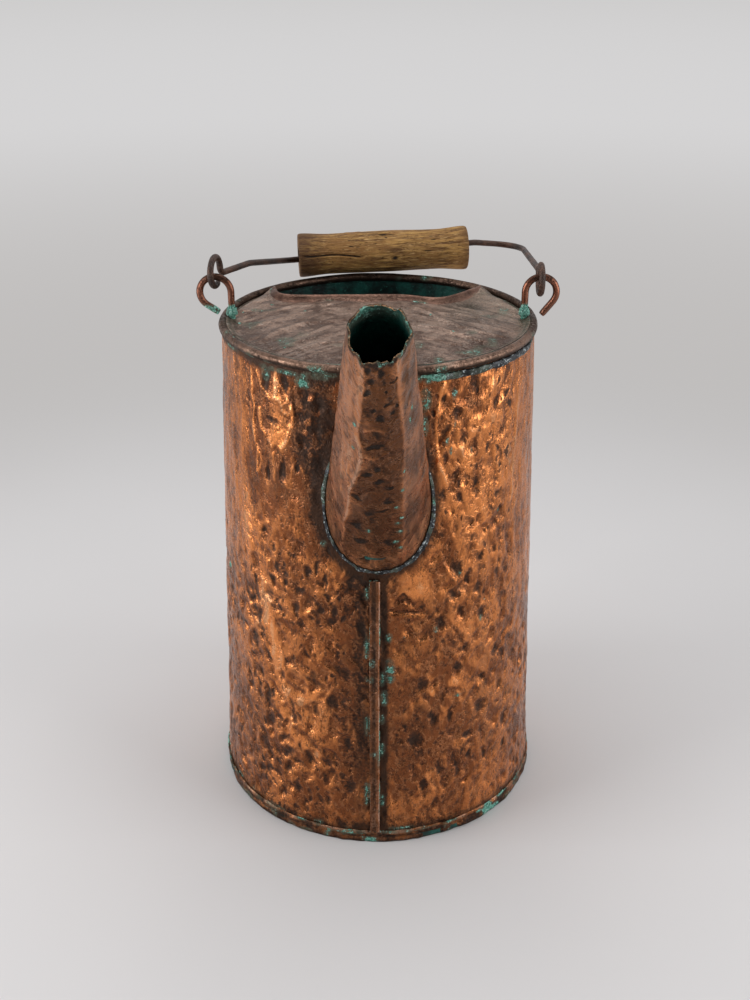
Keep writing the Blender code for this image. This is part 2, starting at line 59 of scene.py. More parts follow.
SEAM_OFFSET = -0.0021
HOOD_DROP = 0.0022
HOOD_LIP_DROP = 0.0005
HOOD_LIP_WIDTH = 0.0035
HOOD_CROWN = 0.0020
MOUTH_CORNER = math.radians(49)
MOUTH_FRONT = ((-0.0600, 0.0362), (-0.0240, 0.0350), (0.0140, 0.0350), (0.0375, 0.0285), (0.0530, 0.0390))
COLLAR_RISE = 0.0032
SPOUT_LEAN = math.radians(38.3)
SPOUT_HEIGHT = 0.2466
SPOUT_LENGTH = 0.1643
SPOUT_FOOT_RADIUS = 0.0296
SPOUT_TIP_RADIUS = 0.0152
SPOUT_SOLDER_WIDTH = 0.0030
SPOUT_SOLDER_THICKNESS = 0.0016
RIM_SOLDER_FROM = math.radians(14)
RIM_SOLDER_TO = math.radians(72)
EAR_WIRE = 0.0043
EAR_LOOP_RADIUS = 0.0095
EAR_LIFT = 0.0144
EAR_TANG = 0.0260
EAR_JOG_TOP = 0.0065
EAR_JOG_BOTTOM = 0.0130
EAR_SOLDER_HEIGHT = 0.0052
EAR_SOLDER_WIDTH = 0.0016
BAIL_WIRE = 0.0042
EYE_RADIUS = 0.0086
EYE_SWEEP = math.radians(300)
EYE_PLAY = 0.00345
EYE_BEND = 0.0034
GRIP_LENGTH = 0.1142
GRIP_END_RADIUS = 0.0150
GRIP_NECK_RADIUS = 0.0137
GRIP_BELLY_RADIUS = 0.0141
GRIP_NECK_INSET = 0.0210
GRIP_BORE_RADIUS = 0.0053
GRIP_MIDDLE = Vector((0.0033, 0.0975, 0.33496))
GRIP_AXIS = Vector((0.9939507, 0.1079776, 0.0200699))

SLOPE = (FOOT_RADIUS - NECK_RADIUS) / RIM_HEIGHT
ROLL_HEIGHT = RIM_HEIGHT - ROLL_RADIUS
ROLL_CENTRE = FOOT_RADIUS - SLOPE * ROLL_HEIGHT + ROLL_PROUD - ROLL_RADIUS
ROLL_INSIDE = ROLL_CENTRE - ROLL_RADIUS
WALL_FOOT = SHEET + GAP
HOOD_RADIUS = ROLL_INSIDE - GAP
TAPER = (SPOUT_FOOT_RADIUS - SPOUT_TIP_RADIUS) / SPOUT_LENGTH
EAR_LEG = ROLL_INSIDE - GAP - EAR_WIRE / 2
EAR_MIDDLE = EAR_LEG + EAR_LOOP_RADIUS
PIVOT_HEIGHT = RIM_HEIGHT + EAR_LIFT + EAR_LOOP_RADIUS

# Radii that turn an angle on a sheet into a length, in metres
WALL_GIRTH = 0.1
SPOUT_GIRTH = 0.024
GRIP_GIRTH = 0.014

# Points of the meshes
WALL_FRONT = 1.75           # half the angle of the wall that has the finer columns
WALL_COLUMNS = (330, 150)   # before and behind
WALL_ROWS, WALL_LINING_ROWS = 262, 16
ROLL_ROWS, ROLL_LINING_ROWS = 19, 14
HOLE_COLUMNS = 64
BASE_COLUMNS = 360
SEAM_ROWS = 150
SPOUT_COLUMNS, SPOUT_ROWS, SPOUT_LINING_ROWS = 240, 190, 40
BEAD_COLUMNS = 300
BAND_ROWS = 150
HOOD_ROWS, HOOD_COLUMNS = 300, 150
WIRE_SIDES = 14
ROOT_COLUMNS = 40
EYE_STEPS, BEND_STEPS = 61, 9
GRIP_COLUMNS, GRIP_ROWS = 144, 200

DEEPEST, HIGHEST = -0.0022, 0.0014      # limits of the wall's dents and ridges
ROOM_COLOUR = (0.615, 0.607, 0.605)


def wall_radius(height):
    """Outside radius of the wall at a height."""
    return FOOT_RADIUS - SLOPE * height


def unit(value):
    """A value kept between 0 and 1."""
    return np.clip(value, 0.0, 1.0)


def smooth(low, high, value):
    """A soft step from 0 to 1 between two values."""
    share = unit((value - low) / (high - low))
    return share * share * (3.0 - 2.0 * share)


def bell(value, width):
    """A soft hump: 1 where the value is 0, a third at the width, next to nothing at twice that."""
    return np.exp(-((value / width) ** 2))


def wrapped(angle):
    """The same angle between half a turn back and half a turn on."""
    return (angle + math.pi) % math.tau - math.pi


def all_round(count, start=-math.pi):
    """Even angles over one whole turn."""
    return np.linspace(start, start + math.tau, count + 1)[:-1]


def mm(*lengths):
    """Millimetres as metres."""
    return tuple(length / 1000 for length in lengths)


def flat(x, y):
    """Places on a flat sheet."""
    return np.stack(np.broadcast_arrays(x, y, 0.0 * x), -1)


def hoop(angle, rise=0.0, radius=1.0):
    """Places on rings about an upright axis."""
    return np.stack(np.broadcast_arrays(radius * np.cos(angle), radius * np.sin(angle), rise), -1)


def unrest(spots, size, seed):
    """Smooth random values from -1 to 1 that change over about the given size."""
    scaled = spots / size + seed * 17.31
    base = np.floor(scaled).astype(np.int64)
    part = scaled - base
    part = part * part * (3.0 - 2.0 * part)
    total = np.zeros(spots.shape[:-1])
    for corner in itertools.product((0, 1), repeat=3):
        # large odd numbers scatter the bits of each corner's place into a value of its own
        cell = base + np.array(corner)
        mixed = (cell[..., 0] * 73856093) ^ (cell[..., 1] * 19349663) ^ (cell[..., 2] * 83492791)
        mixed = (mixed ^ (seed * 40503) ^ (mixed >> 13)) * 1274126177
        value = ((mixed ^ (mixed >> 16)) & 0xFFFF) / 32767.5 - 1.0
        weight = np.prod(np.where(np.array(corner) == 1, part, 1.0 - part), axis=-1)
        total += weight * value
    return total


def put(name, data):
    """Put a new object into the scene."""
    made = bpy.data.objects.new(name, data)
    bpy.context.scene.collection.objects.link(made)
    return made


def skin(name, points, materials, lining=None, ring=True, marks=None, sharp=60.0):
    """Join a grid of points into one closed surface.

    Columns run round. Rows also run round when ring is true; otherwise a flat face closes each end.
    """
    rows, columns = points.shape[:2]
    index = np.arange(rows * columns).reshape(rows, columns)
    quads = np.stack(
        [index, np.roll(index, -1, 1), np.roll(np.roll(index, -1, 1), -1, 0), np.roll(index, -1, 0)], -1
    )
    if not ring:
        quads = quads[:-1]
    slots = np.zeros(quads.shape[:2], dtype=np.int32)
    if lining is not None:
        lining = np.asarray(lining, dtype=np.int32)
        slots[:] = lining[: len(slots), None] if lining.ndim == 1 else lining[: len(slots)]
    quads = quads.reshape(-1, 4)
    spots = points.reshape(-1, 3)
    a, b, c, d = (spots[quads[:, corner]] for corner in range(4))
    volume = np.sum(a * np.cross(b, c)) + np.sum(a * np.cross(c, d))
    faces = [tuple(quad) for quad in (quads if volume > 0 else quads[:, ::-1]).tolist()]
    face_slots = slots.ravel().tolist()
    if not ring:
        first = index[0][::-1].tolist()
        last = index[-1].tolist()
        if volume < 0:
            first.reverse()
            last.reverse()
        faces += [tuple(first), tuple(last)]
        face_slots += [face_slots[0], face_slots[-1]]
    mesh = bpy.data.meshes.new(name)
    mesh.from_pydata(spots.tolist(), [], faces)
    mesh.polygons.foreach_set("material_index", face_slots)
    for key, values in (marks or {}).items():
        layer = mesh.attributes.new(key, "FLOAT", "POINT")
        layer.data.foreach_set("value", np.asarray(values, dtype=np.float32).ravel())
    for material in materials:
        mesh.materials.append(material)
    mesh.shade_smooth()
    mesh.set_sharp_from_angle(angle=math.radians(sharp))
    mesh.update()
    return put(name, mesh)


def settle(piece, body, node):
    """Let a piece stand for a solid and move with its body."""
    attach(piece, body)
    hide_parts(node)


def tube(path, radii, sides):
    """Rings of points round a path of points."""
    path = np.asarray(path, dtype=float)
    along = np.gradient(path, axis=0)
    along /= np.linalg.norm(along, axis=1)[:, None]
    side = np.cross(along[0], (0.3, 0.5, 0.81))
    rings = []
    turns = np.arange(sides) * math.tau / sides
    for spot, way, radius in zip(path, along, radii):
        side = side - way * np.dot(side, way)
        side /= np.linalg.norm(side)
        other = np.cross(way, side)
        ring = np.cos(turns)[:, None] * side + np.sin(turns)[:, None] * other
        rings.append(spot + ring * np.reshape(radius, (-1, 1)))
    return np.array(rings)


def run_along(path):
    """How far along a path each of its points lies."""
    return np.concatenate([[0.0], np.cumsum(np.linalg.norm(np.diff(path, axis=0), axis=1))])


def evenly(path, spacing):
    """The same path with points an even distance apart."""
    path = np.array([tuple(spot) for spot in path])
    keep = np.concatenate([[True], np.linalg.norm(np.diff(path, axis=0), axis=1) > 1e-7])
    path = path[keep]
    run = run_along(path)
    stops = np.linspace(0.0, run[-1], max(2, round(run[-1] / spacing)))
    return np.stack([np.interp(stops, run, path[:, axis]) for axis in range(3)], -1)


def old_wire(path, radius, wear, blunt):
    """Rings of points of a worn wire.

    Wear is the share of its radius that is left, then rows of amount, size and seed of its unevenness.
    Blunt is how much its ends are rounded off, and over how many rings.
    """
    spots = path[:, None, :] + 0.004 * hoop(np.arange(WIRE_SIDES))
    left = wear[0]
    for amount, size, seed in wear[1:]:
        left = left + amount * unrest(spots, size, seed)
    order = np.arange(len(path))
    ends = np.minimum(order, order[::-1])
    left = radius * left
    left *= (1.0 - blunt[0] * np.exp(-ends / blunt[1]))[:, None]
    return tube(path, left, WIRE_SIDES)


def oval(across, up, x, y, wide, tall, turn):
    """The block of a grid that an oval covers, and how far its points lie from the oval's middle."""
    reach = 1.8 * max(wide, tall)
    left, right = np.searchsorted(across, (x - reach, x + reach))
    low, high = np.searchsorted(up, (y - reach, y + reach))
    beside = across[left:right][None, :] - x
    over = up[low:high][:, None] - y
    cosine, sine = math.cos(turn), math.sin(turn)
    far = np.hypot((beside * cosine + over * sine) / wide, (over * cosine - beside * sine) / tall)
    return (slice(low, high), slice(left, right)), far


def dab(field, block, values):
    """Raise a block of a field to at least the given values."""
    field[block] = np.maximum(field[block], values)


def blow(lift, stain, grid, spot, size, turn, depth, dark):
    """One hammer blow: a bowl with a raised edge, and a stain that fades outwards."""
    block, far = oval(*grid, *spot, *size, turn)
    lift[block] = np.minimum(lift[block], depth * (np.minimum(far, 1.0) ** 2 - 1.0))
    lift[block] += 0.20 * depth * bell(far - 1.15, 0.20)
    dab(stain, block, dark * unit(1.25 - 0.85 * far))


def hammered(grid, seed, spacing, depth, dark):
    """Hammer blows all over a sheet: how the sheet lifts, and how dark it has gone."""
    across, up = grid
    lift = np.zeros((len(up), len(across)))
    stain = np.zeros_like(lift)
    draw = random.Random(seed)
    for row in range(math.ceil((up[-1] - up[0]) / spacing)):
        for column in range(math.ceil((across[-1] - across[0]) / spacing)):
            x = across[0] + (column + draw.uniform(0.0, 1.0)) * spacing
            y = up[0] + (row + draw.uniform(0.0, 1.0)) * spacing
            wide = spacing * draw.uniform(0.20, 0.42)
            tall = wide * draw.uniform(1.3, 2.9)
            hard = depth * draw.uniform(0.15, 1.0) ** 1.5
            gone = dark * draw.uniform(0.25, 1.05)
            turn = draw.gauss(0.35 if x < 0 else 0.0, 0.35)
            blow(lift, stain, grid, (x, y), (wide, tall), turn, hard, gone)
    return lift, stain


def sampled(field, grid, x, y):
    """Read a field of a sheet at other places on it."""
    across, up = grid
    column = np.clip(np.interp(x, across, np.arange(len(across))), 0.0, len(across) - 1.001)
    row = np.clip(np.interp(y, up, np.arange(len(up))), 0.0, len(up) - 1.001)
    left, low = column.astype(int), row.astype(int)
    part, rest = column - left, row - low
    lower = field[low, left] * (1.0 - part) + field[low, left + 1] * part
    upper = field[low + 1, left] * (1.0 - part) + field[low + 1, left + 1] * part
    return lower * (1.0 - rest) + upper * rest


def ragged(fields, grid, x, y, size, seed):
    """The same fields with their outlines drawn ragged, by up to about the given size."""
    spots = flat(x, y)
    aside = size * (unrest(spots, 3.2 * size, seed) + 0.5 * unrest(spots, 1.4 * size, seed + 1))
    over = size * (unrest(spots, 3.2 * size, seed + 2) + 0.5 * unrest(spots, 1.4 * size, seed + 3))
    return [sampled(field, grid, x + aside, y + over) for field in fields]


def along_line(x, y, line):
    """How far points of a sheet lie from a broken line drawn on it."""
    best = np.full(np.broadcast(x, y).shape, 1.0)
    for (x0, y0), (x1, y1) in zip(line, line[1:]):
        length = (x1 - x0) ** 2 + (y1 - y0) ** 2
        share = unit(((x - x0) * (x1 - x0) + (y - y0) * (y1 - y0)) / length)
        best = np.minimum(best, np.hypot(x - x0 - share * (x1 - x0), y - y0 - share * (y1 - y0)))
    return best


def on_wall(angle, height):
    """A place on the wall, from degrees to the right of the front and millimetres up."""
    return math.radians(angle) * WALL_GIRTH, height / 1000


def on_spout(angle, along):
    """A place on the spout, from degrees to the right of its front and millimetres along its axis."""
    return math.radians(angle) * SPOUT_GIRTH, along / 1000


def padded(marks, rows):
    """The same marks with rows of zeros after them."""
    return {key: np.concatenate([value, np.zeros((rows, value.shape[1]))]) for key, value in marks.items()}


# Shader nodes


def feed(tree, node, inputs):
    """Join a node's inputs to other nodes, or set their values."""
    for key, value in inputs.items():
        socket = node.inputs[key]
        if isinstance(value, bpy.types.NodeSocket):
            tree.links.new(value, socket)
        else:
            socket.default_value = (*value, 1.0) if socket.type == "RGBA" else value


def add(tree, kind, inputs=None, **settings):
    """Add a node, with its settings and inputs."""
    node = tree.nodes.new(kind)
    for key, value in settings.items():
        setattr(node, key, value)
    feed(tree, node, inputs or {})
    return node


def maths(tree, operation, first, second=0.0):
    """One sum on two values."""
    return add(tree, "ShaderNodeMath", {0: first, 1: second}, operation=operation).outputs[0]


def times(tree, first, second):
    """Two values multiplied."""
    return maths(tree, "MULTIPLY", first, second)


def mingle(tree, share, first, second):
    """Mix two colours."""
    return add(tree, "ShaderNodeMix", {0: share, 6: first, 7: second}, data_type="RGBA").outputs[2]


def step(tree, value, low, high):
    """A soft step from 0 to 1."""
    inputs = {0: value, 1: low, 2: high, 3: 0.0, 4: 1.0}
    return add(tree, "ShaderNodeMapRange", inputs, interpolation_type="SMOOTHSTEP").outputs[0]


def clouds(tree, spots, scale, detail=4.0, rough=0.6, warp=0.0):
    """Cloudy values round 0.5."""
    inputs = {"Vector": spots, "Scale": scale, "Detail": detail, "Roughness": rough, "Distortion": warp}
    return add(tree, "ShaderNodeTexNoise", inputs).outputs[0]


def stretched(tree, spots, factors):
    """Texture places stretched along the axes."""
    return add(tree, "ShaderNodeMapping", {0: spots, 3: factors}).outputs[0]


def places(tree):
    """Places on the piece itself, in metres."""
    return tree.nodes.new("ShaderNodeTexCoord").outputs["Object"]


def new_group(name, inputs, outputs):
    """An empty node group with named sockets: names of colours, then names of values."""
    tree = bpy.data.node_groups.new(name, "ShaderNodeTree")
    for way, names in (("INPUT", inputs), ("OUTPUT", outputs)):
        for kind, sockets in zip(("NodeSocketColor", "NodeSocketFloat"), names):
            for socket in sockets:
                tree.interface.new_socket(socket, in_out=way, socket_type=kind)
    return tree, tree.nodes.new("NodeGroupInput").outputs, tree.nodes.new("NodeGroupOutput")


def centred(tree, value):
    """Cloudy values round 0."""
    return maths(tree, "SUBTRACT", value, 0.5)


def weighed(tree, start, *terms):
    """A sum of values, each with its own weight."""
    total = start
    for value, weight in terms:
        node = add(tree, "ShaderNodeMath", {0: value, 1: weight, 2: total}, operation="MULTIPLY_ADD")
        total = node.outputs[0]
    return total


def make_verdigris_group():
    """Green crust over a surface: a thin film, stray specks, and patches where they are asked for."""
    inputs = (("Colour",), ("Patches", "Specks"))
    outputs = (("Colour",), ("Crust", "Height"))
    tree, given, out = new_group("verdigris", inputs, outputs)
    spots = places(tree)
    frayed = centred(tree, clouds(tree, spots, 420.0, 4.0, 0.7))
    powder = centred(tree, clouds(tree, spots, 1000.0, 2.0, 0.6))
    cells = add(tree, "ShaderNodeTexVoronoi", {"Vector": spots, "Scale": 120.0, "Randomness": 1.0})
    chosen = step(tree, cells.outputs["Color"], 0.80, 0.82)
    near = maths(tree, "SUBTRACT", 0.24, cells.outputs["Distance"])
    speck = times(tree, times(tree, near, chosen), given["Specks"])
    wanted = weighed(tree, given["Patches"], (speck, 5.0))
    gate = step(tree, wanted, 0.02, 0.2)
    torn = weighed(tree, wanted, (frayed, 1.9), (powder, 1.1))
    crust = times(tree, step(tree, torn, 0.36, 0.66), gate)
    film = times(tree, step(tree, given["Patches"], 0.0, 0.22), 0.42)
    colour = mingle(tree, film, given["Colour"], (0.13, 0.16, 0.115))
    deep = weighed(tree, 0.45, (powder, 2.6), (frayed, 1.4))
    green = mingle(tree, step(tree, deep, 0.05, 0.55), (0.028, 0.125, 0.095), (0.135, 0.43, 0.335))
    green = mingle(tree, step(tree, deep, 0.55, 1.0), green, (0.50, 0.74, 0.64))
    colour = mingle(tree, times(tree, crust, 0.94), colour, green)
    height = times(tree, crust, weighed(tree, 0.5, (frayed, 1.0), (powder, 0.6)))
    feed(tree, out, {"Colour": colour, "Crust": crust, "Height": height})
    return tree


COPPER_COLOURS = ("Bright", "Brown", "Dark", "Pale_highlight")
COPPER_MARKS = ("Stain", "Shine", "Grime_and_shade", "Green")
COPPER_WEAR = ("Mottle", "Veins", "Grain", "Specks", "Pits", "Smoothness")
COPPERS = {
    # finish: relief in metres, its four colours, then its wear, in the order of the names above
    "hammered_copper": (
        0.0008, (0.80, 0.283, 0.089), (0.23, 0.077, 0.030), (0.034, 0.021, 0.016), (0.93, 0.46, 0.22),
        0.34, 0.8, 0.16, 0.25, 0.7, 0.57,
    ),
    "base_copper": (
        0.0009, (0.42, 0.15, 0.052), (0.15, 0.058, 0.027), (0.028, 0.020, 0.017), (0.50, 0.30, 0.20),
        0.5, 0.5, 0.6, 0.7, 0.7, 0.42,
    ),
    "seam_copper": (
        0.0007, (0.36, 0.14, 0.060), (0.12, 0.050, 0.024), (0.026, 0.019, 0.016), (0.70, 0.44, 0.32),
        0.3, 0.3, 0.4, 0.9, 0.5, 0.56,
    ),
    "spout_copper": (
        0.0009, (0.56, 0.225, 0.096), (0.145, 0.054, 0.020), (0.018, 0.014, 0.012), (0.64, 0.35, 0.21),
        0.60, 0.6, 0.15, 0.35, 0.5, 0.50,
    ),
    "hood_copper": (
        0.0008, (0.44, 0.305, 0.235), (0.130, 0.075, 0.053), (0.036, 0.023, 0.018), (0.60, 0.52, 0.45),
        0.30, 0.45, 1.0, 0.8, 0.45, 0.34,
    ),
    "rim_copper": (
        0.0007, (0.28, 0.170, 0.120), (0.090, 0.052, 0.037), (0.036, 0.027, 0.023), (0.55, 0.38, 0.29),
        0.2, 0.3, 0.6, 0.7, 0.4, 0.42,
    ),
    "collar_copper": (
        0.0007, (0.27, 0.150, 0.108), (0.10, 0.054, 0.040), (0.045, 0.028, 0.022), (0.45, 0.30, 0.22),
        0.15, 0.2, 0.5, 0.4, 0.3, 0.34,
    ),
    "ear_copper": (
        0.0005, (0.26, 0.105, 0.066), (0.105, 0.048, 0.033), (0.028, 0.020, 0.017), (0.40, 0.21, 0.14),
        0.1, 0.1, 0.1, 0.3, 0.1, 0.46,
    ),
}


def make_old_copper_group(verdigris):
    """Tarnished copper: bright and brown wisps, soft stains, fine cracks, pits, grain, dirt and painted
    shade, painted highlights, green crust.
    """
    inputs = (COPPER_COLOURS, COPPER_MARKS + COPPER_WEAR)
    outputs = (("Colour",), ("Roughness", "Metallic", "Height"))
    tree, given, out = new_group("old_copper", inputs, outputs)
    spots = places(tree)
    upright = stretched(tree, spots, (1.0, 1.0, 0.48))
    cloud = centred(tree, clouds(tree, spots, 34.0, 3.0, 0.55))
    wisp = centred(tree, clouds(tree, upright, 95.0, 2.0, 0.5, 1.0))
    island = centred(tree, clouds(tree, upright, 215.0, 2.0, 0.5, 0.8))
    fleck = centred(tree, clouds(tree, spots, 560.0, 1.0, 0.5, 0.5))
    grit = centred(tree, clouds(tree, spots, 1250.0, 1.0, 0.5))

    # tone: the shine mark, which carries the pieces' painted light, with cloudy tone that differs at random;
    # the highest tone gets the pale highlight colour
    tone = weighed(tree, given["Shine"], (cloud, 1.3), (wisp, 1.6), (island, 0.9), (fleck, 0.6))
    tone = maths(tree, "ADD", tone, 0.5)
    metal = mingle(tree, step(tree, tone, -0.05, 1.0), given["Brown"], given["Bright"])
    metal = mingle(tree, times(tree, step(tree, tone, 0.95, 1.50), 0.8), metal, given["Pale_highlight"])

    edge = weighed(tree, given["Stain"], (island, 0.6), (fleck, 0.8))
    stain = step(tree, edge, 0.28, 0.70)
    core = step(tree, edge, 0.60, 0.92)
    field = weighed(tree, 0.0, (wisp, 1.0), (island, 0.7), (cloud, 0.5))
    blot = step(tree, field, 0.05, 0.24)
    # crest: a pale painted highlight along the raised rim round each stain
    lip = times(tree, step(tree, edge, 0.05, 0.20), step(tree, edge, 0.36, 0.24))
    crest = times(tree, lip, step(tree, given["Stain"], 0.10, 0.30))
    metal = mingle(tree, times(tree, crest, 0.16), metal, given["Pale_highlight"])
    shade = times(tree, stain, 0.72)
    shade = maths(tree, "MAXIMUM", shade, times(tree, blot, given["Mottle"]))
    metal = mingle(tree, shade, metal, given["Dark"])
    metal = mingle(tree, times(tree, core, 0.80), metal, given["Dark"])

    crossing = centred(tree, clouds(tree, upright, 330.0, 1.0, 0.5, 1.4))
    vein = step(tree, maths(tree, "ABSOLUTE", crossing), 0.034, 0.0)
    torn = centred(tree, clouds(tree, spots, 58.0, 2.0))
    vein = times(tree, times(tree, vein, step(tree, torn, -0.08, 0.04)), given["Veins"])
    cells = add(tree, "ShaderNodeTexVoronoi", {"Vector": upright, "Scale": 420.0, "Randomness": 1.0})
    pit = step(tree, cells.outputs["Distance"], 0.36, 0.20)
    pit = times(tree, times(tree, pit, step(tree, torn, 0.02, 0.10)), given["Pits"])
    marked = maths(tree, "MAXIMUM", vein, pit)
    grain = times(tree, step(tree, grit, 0.09, 0.17), given["Grain"])
    marked = maths(tree, "MAXIMUM", marked, times(tree, grain, 0.7))
    metal = mingle(tree, times(tree, marked, 0.88), metal, given["Dark"])
    # bright grain: small painted glints in the pale highlight colour
    bright = times(tree, step(tree, grit, -0.11, -0.19), given["Grain"])
    metal = mingle(tree, times(tree, bright, 0.40), metal, given["Pale_highlight"])

    # grime and painted shade: real grime together with shade painted into corners, grooves and under things,
    # darkened towards a warm near-black
    soil_and_shade = weighed(tree, given["Grime_and_shade"], (fleck, 0.8), (island, 0.6))
    soil_and_shade = times(tree, step(tree, soil_and_shade, 0.08, 0.90), step(tree, given["Grime_and_shade"], 0.03, 0.3))
    metal = mingle(tree, times(tree, soil_and_shade, 0.9), metal, (0.030, 0.017, 0.011))

    inputs = {"Colour": metal, "Patches": given["Green"], "Specks": given["Specks"]}
    crusted = add(tree, "ShaderNodeGroup", inputs, node_tree=verdigris).outputs
    crust = crusted["Crust"]

    rough = weighed(
        tree, 0.72, (given["Smoothness"], -0.8), (shade, 0.22), (soil_and_shade, 0.22), (island, 0.35), (fleck, 0.3),
        (crust, 0.5),
    )
    metallic = weighed(tree, 1.0, (crust, -1.0), (shade, -0.15), (soil_and_shade, -0.2))
    coarse = times(tree, grit, given["Grain"])
    height = weighed(
        tree, 0.0, (wisp, 1.0), (island, 0.55), (fleck, 0.16), (coarse, 0.18), (stain, -0.34), (core, -0.20),
        (crest, 0.18), (marked, -0.22), (crusted["Height"], 1.5),
    )
    rough = maths(tree, "MINIMUM", rough, 1.0)
    metallic = maths(tree, "MAXIMUM", metallic, 0.0)
    feed(tree, out, {"Colour": crusted["Colour"], "Roughness": rough, "Metallic": metallic, "Height": height})
    return tree


def new_finish(name):
    """An empty finish with its shader."""
    material = bpy.data.materials.new(name)
    material.use_nodes = True
    tree = material.node_tree
    return material, tree, tree.nodes["Principled BSDF"]


def emboss(tree, height, distance):
    """Fine relief that turns the light."""
    return add(tree, "ShaderNodeBump", {"Height": height, "Distance": distance, "Strength": 1.0}).outputs[0]


def mark(tree, name):
    """A value that a piece carries at its points."""
    return add(tree, "ShaderNodeAttribute", attribute_name=name).outputs["Fac"]


def copper(name, group, relief, *values):
    """A finish of old copper with its own colours and wear."""
    material, tree, shader = new_finish(name)
    inputs = {key: mark(tree, key.lower()) for key in COPPER_MARKS}
    inputs.update(zip(COPPER_COLOURS + COPPER_WEAR, values))
    old = add(tree, "ShaderNodeGroup", inputs, node_tree=group).outputs
    feed(tree, shader, {
        "Base Color": old["Colour"],
        "Roughness": old["Roughness"],
        "Metallic": old["Metallic"],
        "Normal": emboss(tree, old["Height"], relief),
    })
    return material


def inside_finish(verdigris):
    """The green-black inside of the can."""
    material, tree, shader = new_finish("green_black_inside")
    spots = places(tree)
    patch = step(tree, clouds(tree, spots, 55.0, 5.0, 0.65), 0.36, 0.62)
    fine = clouds(tree, spots, 400.0, 4.0)
    colour = mingle(tree, patch, (0.002, 0.010, 0.009), (0.010, 0.105, 0.084))
    colour = mingle(tree, step(tree, fine, 0.60, 0.75), colour, (0.06, 0.27, 0.215))
    inputs = {"Colour": colour, "Patches": mark(tree, "green"), "Specks": 0.0}
    crusted = add(tree, "ShaderNodeGroup", inputs, node_tree=verdigris).outputs
    feed(tree, shader, {
        "Base Color": crusted["Colour"],
        "Roughness": 0.55,
        "Metallic": 0.15,
        "Normal": emboss(tree, fine, 0.0006),
    })
    return material


def solder_finish(name, verdigris, specks):
    """Dull grey tin solder with pale and green specks."""
    material, tree, shader = new_finish(name)
    spots = places(tree)
    cloud = clouds(tree, spots, 160.0, 5.0, 0.65)
    fine = clouds(tree, spots, 560.0, 3.0, 0.65)
    grey = mingle(tree, step(tree, cloud, 0.35, 0.7), (0.010, 0.011, 0.012), (0.070, 0.076, 0.084))
    grey = mingle(tree, step(tree, fine, 0.55, 0.66), grey, (0.48, 0.54, 0.55))
    inputs = {"Colour": grey, "Patches": mark(tree, "green"), "Specks": specks}
    crusted = add(tree, "ShaderNodeGroup", inputs, node_tree=verdigris).outputs
    feed(tree, shader, {
        "Base Color": crusted["Colour"],
        "Roughness": weighed(tree, 0.2, (fine, 0.5)),
        "Metallic": weighed(tree, 0.75, (crusted["Crust"], -0.75)),
        "Normal": emboss(tree, maths(tree, "ADD", fine, crusted["Height"]), 0.0007),
    })
    return material


def iron_finish():
    """Dark wire, browned with rust."""
    material, tree, shader = new_finish("browned_iron")
    spots = places(tree)
    cloud = clouds(tree, spots, 90.0, 5.0, 0.65)
    fine = clouds(tree, spots, 800.0, 4.0, 0.7)
    colour = mingle(tree, step(tree, cloud, 0.38, 0.66), (0.050, 0.036, 0.032), (0.125, 0.066, 0.046))
    colour = mingle(tree, step(tree, fine, 0.55, 0.75), colour, (0.165, 0.125, 0.105))
    feed(tree, shader, {
        "Base Color": colour,
        "Roughness": weighed(tree, 0.26, (fine, 0.4)),
        "Metallic": 0.65,
        "Normal": emboss(tree, maths(tree, "ADD", fine, cloud), 0.0005),
    })
    return material


def wood_finish():
    """Weathered wood: long grain, dark cracks, soiled ends, and painted shade in the bore."""
    material, tree, shader = new_finish("weathered_wood")
    spots = places(tree)
    streak = clouds(tree, stretched(tree, spots, (1.0, 1.0, 0.13)), 430.0, 4.0, 0.65, 0.3)
    fibre = clouds(tree, stretched(tree, spots, (1.0, 1.0, 0.09)), 1500.0, 2.0, 0.6)
    speck = clouds(tree, stretched(tree, spots, (1.0, 1.0, 0.22)), 1250.0, 2.0, 0.6)
    cloud = clouds(tree, spots, 60.0, 3.0, 0.6)
    colour = mingle(tree, step(tree, streak, 0.36, 0.64), (0.130, 0.056, 0.016), (0.53, 0.292, 0.086))
    colour = mingle(tree, step(tree, cloud, 0.44, 0.72), colour, (0.30, 0.145, 0.042))
    colour = mingle(tree, step(tree, fibre, 0.56, 0.70), colour, (0.60, 0.37, 0.145))
    colour = mingle(tree, step(tree, speck, 0.59, 0.70), colour, (0.085, 0.040, 0.014))
    colour = mingle(tree, times(tree, mark(tree, "soil_and_shade"), 0.9), colour, (0.075, 0.030, 0.014))
    colour = mingle(tree, step(tree, mark(tree, "crack"), 0.25, 0.7), colour, (0.014, 0.008, 0.005))
    relief = maths(tree, "ADD", streak, maths(tree, "SUBTRACT", fibre, speck))
    feed(tree, shader, {
        "Base Color": colour,
        "Roughness": 0.72,
        "Specular IOR Level": 0.35,
        "Normal": emboss(tree, relief, 0.0007),
    })
    return material


# Pieces of the can


def roll_arc(radius, start, end, count):
    """Points on a circle about the middle of the rim's roll, as radii and heights."""
    angles = np.linspace(start, end, count)
    return ROLL_CENTRE + radius * np.cos(angles), ROLL_HEIGHT + radius * np.sin(angles)


def roll_meets(offset, radius):
    """Angle, under the roll, where a face inside the wall's outside meets a circle."""
    across = FOOT_RADIUS - SLOPE * (ROLL_HEIGHT - radius) - offset - ROLL_CENTRE
    return -math.acos(across / radius)


def round_the_can(radius, height, angle):
    """Points at angles to the right of the front."""
    return np.stack(np.broadcast_arrays(radius * np.sin(angle), -radius * np.cos(angle), height), -1)


